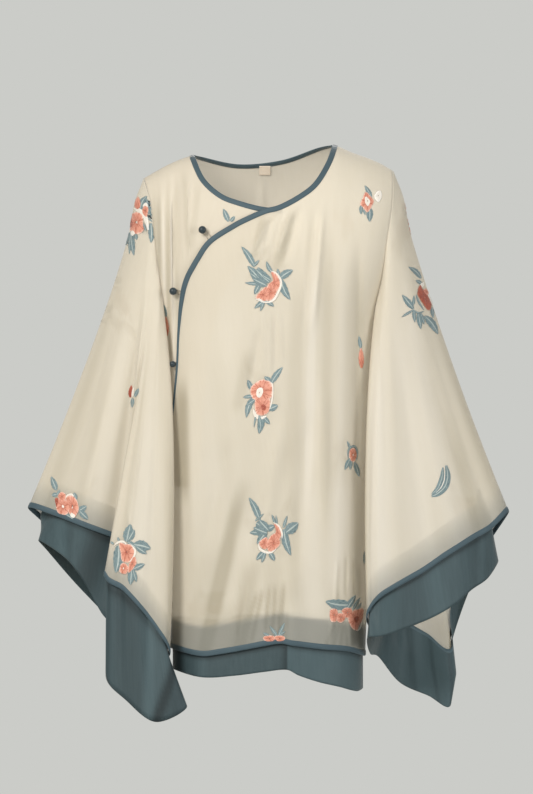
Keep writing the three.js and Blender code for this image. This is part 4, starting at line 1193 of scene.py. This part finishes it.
PLACED = [
    (front_piece, PEONY_TURNED, 0, -195), (front_piece, PEONY_UPRIGHT, -9, -375),
    (front_piece, PEONY_LOW, 3, -567), (front_piece, BUDDING_HEM, 6, -724),
    (front_piece, PEONY_SPRAY, 115.5, -693), (front_piece, DIAMOND, 151.5, -79.5),
    (front_piece, SLIVER, 139.5, -309), (front_piece, BUD, 126, -462), (front_piece, DROP, 145, -612),
    (under_piece, LEAF_PAIR, -58.5, -97.5), (right_sleeve, PEONY_SHOULDER, -197, -102),
    (under_piece, SLIVER, -153, -262), (right_sleeve, FOLD_BUD, -202.5, -366),
    (right_sleeve, TWIN_BLOOM, -300, -520.5), (right_sleeve, PEONY_CUFF, -205.5, -604.5),
    (left_sleeve, CRESCENT, 229.5, -220.5), (left_sleeve, FEATHER, 259.5, -498),
    # the back, which is not seen from in front, carries the same flowers
    (back_piece, PEONY_TURNED, 0, -170, 180), (back_piece, PEONY_UPRIGHT, -6, -370, 180),
    (back_piece, PEONY_LOW, 6, -570, 180), (back_piece, PEONY_SPRAY, -90, -690, 180),
    (back_piece, DIAMOND, 118, -110, 180), (back_piece, BUD, 110, -460, 180),
    (right_sleeve, CRESCENT, -225, -230, 180, -1), (right_sleeve, TWIN_BLOOM, -285, -520, 180),
    (left_sleeve, PEONY_SHOULDER, 205, -110, 180, -1), (left_sleeve, TWIN_BLOOM, 300, -530, 180, -1),
]
for work in PLACED:
    stitch(*work)

for word, name, slot, colours in (
    ("leaf", "thread_leaf", "thread_leaf", ("#577179", "#A0B2B3", "#CCD6D1")),
    ("white", "thread_white", "thread_white", ("#F3E9DC", "#FBF4EA", "#FFFFFF")),
    ("coral", "thread_coral", "thread_coral", ("#B95E45", "#EAA28B", "#F8DFCF")),
    ("dark", "thread_coral_dark", "thread_coral", ("#8E3D2E", "#B9614B", "#CF8069")),
):
    material = thread_material(name, *(srgb(code) for code in colours), rib=word == "leaf")
    heap = heaps[word]
    mesh = bpy.data.meshes.new(f"embroidery_{word}")
    mesh.from_pydata([tuple(p) for p in heap["points"]], [], heap["faces"])
    for layer in ("cloth", "part"):
        mesh.uv_layers.new(name=layer).data.foreach_set("uv", np.array(heap[layer], np.float32).ravel())
    finish_piece(add_object(f"embroidery_{word}", mesh), material, [])
    print(f"embroidery_{word}: {len(mesh.polygons)} faces")

# %% [markdown]
# ## Buttons, loops and label
# Each button is a ball knotted from cord, with a short shank. A thin cord loop lies
# round the shank and runs under the bound edge. The label is a blank tape.

# %% Tubes for cords
def tube(points, radius, sides=10, closed=False):
    """Vertices and faces of a tube along a line of points in millimetres."""
    points = np.array(points, float)
    run = (np.roll(points, -1, 0) - np.roll(points, 1, 0)) if closed else np.gradient(points, axis=0)
    verts, side, turn = [], np.array([0.3, 0.2, 1.0]), all_round(sides)[:, None]
    for spot, way in zip(points, unit(run)):
        side = unit(side - way * side.dot(way))
        verts.append(spot + radius * (np.cos(turn) * side + np.sin(turn) * np.cross(way, side)))
    faces = quads(len(points), sides, True, closed)
    if not closed:
        last = (len(points) - 1) * sides
        faces += [list(range(sides))[::-1], [last + j for j in range(sides)]]
    return np.vstack(verts), faces


def ball(centre, radius, rings=14, sides=20):
    lat = np.linspace(-math.pi / 2, math.pi / 2, rings + 1)[1:-1]
    verts = [[math.cos(a) * math.cos(b), math.cos(a) * math.sin(b), math.sin(a)]
             for a in lat for b in all_round(sides)]
    verts += [[0, 0, -1], [0, 0, 1]]
    faces = quads(rings - 1, sides, True)
    low, high, last = len(verts) - 2, len(verts) - 1, (rings - 2) * sides
    for j in range(sides):
        m = (j + 1) % sides
        faces += [[low, m, j], [high, last + j, last + m]]
    return np.array(verts) * radius + centre, faces


def join_parts(name, parts, material, nodes):
    verts, faces = [], []
    for part_verts, part_faces in parts:
        faces += [[k + len(verts) for k in face] for face in part_faces]
        verts += [tuple(v) for v in np.array(part_verts) * MM]
    mesh = bpy.data.meshes.new(name)
    mesh.from_pydata(verts, [], faces)
    return finish_piece(add_object(name, mesh), material, nodes)


def cord_material(name, roughness, dark, light):
    cord = Finish(name, Roughness=roughness, Sheen_Weight=0.2)
    grain = cord.noise(1400.0, 2.0)
    cord.set(Base_Color=cord.blend(grain, dark, light))
    cord.bump(grain, 0.4, 0.0003)
    return cord.material


DARK_CORD = cord_material("dark_cord", 0.38, srgb("#18242A"), srgb("#2C3D44"))
LOOP_CORD = cord_material("loop_cord", 0.55, srgb("#93897A"), srgb("#B5AA97"))

# %% Three knotted buttons with their loops
BUTTONS = [((-97.5, -120), 5.6, (-86.5, -133)), ((-141, -211.5), 5.5, (-131.5, -215)),
           ((-141.5, -321), 4.6, (-136.5, -322))]
SHANK, SHANK_RADIUS, LOOP_RADIUS, CORD, LIFT = 2.2, 1.5, 2.9, 0.9, 1.5
for number, (at, radius, edge) in enumerate(BUTTONS, 1):
    at, edge = np.array([at], float), np.array([edge], float)
    lean = on_body(FRONT, at)[1][0] * (SHANK + radius - UNDERLAP)
    foot = at - lean[[0, 2]]
    point, out = (part[0] for part in on_body(FRONT, foot, -UNDERLAP))
    root = point + out * LIFT
    middle = root + out * (SHANK + radius)
    side = unit(np.cross(out, (0, 0, 1.0)))
    up = np.cross(side, out)
    turn = all_round(140)
    lat = 0.95 * np.cos(4 * turn)
    knot = middle + (radius - 0.85) * (
        (np.cos(lat) * np.cos(3 * turn))[:, None] * side + (np.cos(lat) * np.sin(3 * turn))[:, None] * up
        + np.sin(lat)[:, None] * out)
    shank = tube([root + out * t for t in np.linspace(0, SHANK + 1.5, 4)], SHANK_RADIUS, 12)
    join_parts(f"knot_button_{number}", [ball(middle, radius + 0.3), tube(knot, 1.2, 8, True), shank],
               DARK_CORD, [f"button_{number}"])
    to_edge = on_body(FRONT, edge, -UNDERLAP)[0][0] - point
    reach = max(float(np.linalg.norm(to_edge)) - 1.5, CORD)
    aside = unit(to_edge - out * to_edge.dot(out))
    across = np.cross(aside, out)
    bow = [(reach, LOOP_RADIUS)] + [
        (LOOP_RADIUS * math.cos(a), LOOP_RADIUS * math.sin(a)) for a in np.linspace(0.5, 1.5, 9) * math.pi
    ] + [(reach, -LOOP_RADIUS)]
    route = spline(bow, np.linspace(0, 1, 40))
    base = point + out * (LIFT + CORD + 0.2)
    cord = tube([base + aside * a + across * b for a, b in route], CORD * 0.62, 8)
    join_parts(f"cord_loop_{number}", [cord], LOOP_CORD, [f"loop_{number}"])

# %% Blank label
TAPE_PITCH = 0.0008
label_spots = np.stack(np.meshgrid(np.linspace(-13, 4, 15), np.linspace(-22, -36, 12)), axis=-1)
label_points = on_body(BACK, label_spots, -2.0)[0]
tape = Finish("label", Roughness=0.7, Sheen_Weight=0.2)
tape.set(Base_Color=tape.blend(tape.noise(300.0, 2.0), srgb("#FCEAD6"), srgb("#FFF4E6")))
tape.bump(weave(TAPE_PITCH, *tape.split_uv()), 0.3, 0.0003)
label_piece = cloth("neck_label_tape", label_points, tape.material, ["neck_label"], (0, -1, 0))
print("buttons, loops and label are in place")

# %% [markdown]


# %% [markdown]
# ## Camera, light and ground
# The robe hangs as if worn, so it is looked at from straight in front with a long lens.
# The light is a wide soft key from the upper left, a weaker fill and an even grey sky.

# %% Stage
FLOOR_Z, FLOOR_RADIUS = -1.42, 2.4
GROUND = srgb("#CBCCC8")
scene = bpy.context.scene
scene.view_settings.view_transform = "Standard"

floor_mesh = bpy.data.meshes.new("floor")
rim = [(FLOOR_RADIUS * math.cos(a), FLOOR_RADIUS * math.sin(a), FLOOR_Z) for a in all_round(96)]
floor_mesh.from_pydata(rim, [], [list(range(len(rim)))])
floor = add_object("floor", floor_mesh)
ground = Finish("pale_floor", Roughness=0.9, Base_Color=GROUND)
floor_mesh.materials.append(ground.material)

world = bpy.data.worlds.new("studio")
scene.world = world
world.use_nodes = True
sky = world.node_tree.nodes["Background"]
sky.inputs["Color"].default_value = (*GROUND, 1)
path = world.node_tree.nodes.new("ShaderNodeLightPath")
seen = Wire(world.node_tree, path.outputs["Is Camera Ray"])
plug(world.node_tree, sky.inputs["Strength"], 0.62 + seen * 0.38)  # seen at full, lights a little less


def soft_light(name, place, aim, size, power, colour=(1, 1, 1)):
    data = bpy.data.lights.new(name, "AREA")
    data.energy, data.shape, data.size, data.color = power, "DISK", size, colour
    lamp = add_object(name, data)
    lamp.location = place
    lamp.rotation_euler = (Vector(aim) - Vector(place)).to_track_quat("-Z", "Y").to_euler()


soft_light("key", (-1.6, -2.6, 1.2), (0, 0, -0.35), 1.3, 82, (1.0, 0.975, 0.93))
soft_light("fill", (2.4, -2.4, 0.2), (0, 0, -0.4), 1.6, 35)
soft_light("rim", (0.6, 2.8, 1.4), (0, 0, -0.3), 2.0, 20)

# %% Camera
VIEW_DISTANCE = 12.0
VIEW_HEIGHT = 1.191
VIEW_TILT = math.radians(1.2)
LOOK_AT = (-0.002, -0.06, -0.3705)
camera_data = bpy.data.cameras.new("camera")
camera_data.sensor_width = 36
camera_data.lens = 36 * VIEW_DISTANCE / VIEW_HEIGHT
camera = add_object("camera", camera_data)
back, up = VIEW_DISTANCE * math.cos(VIEW_TILT), VIEW_DISTANCE * math.sin(VIEW_TILT)
camera.location = (LOOK_AT[0], LOOK_AT[1] - back, LOOK_AT[2] + up)
camera.rotation_euler = (math.pi / 2 - VIEW_TILT, 0, 0)
scene.camera = camera
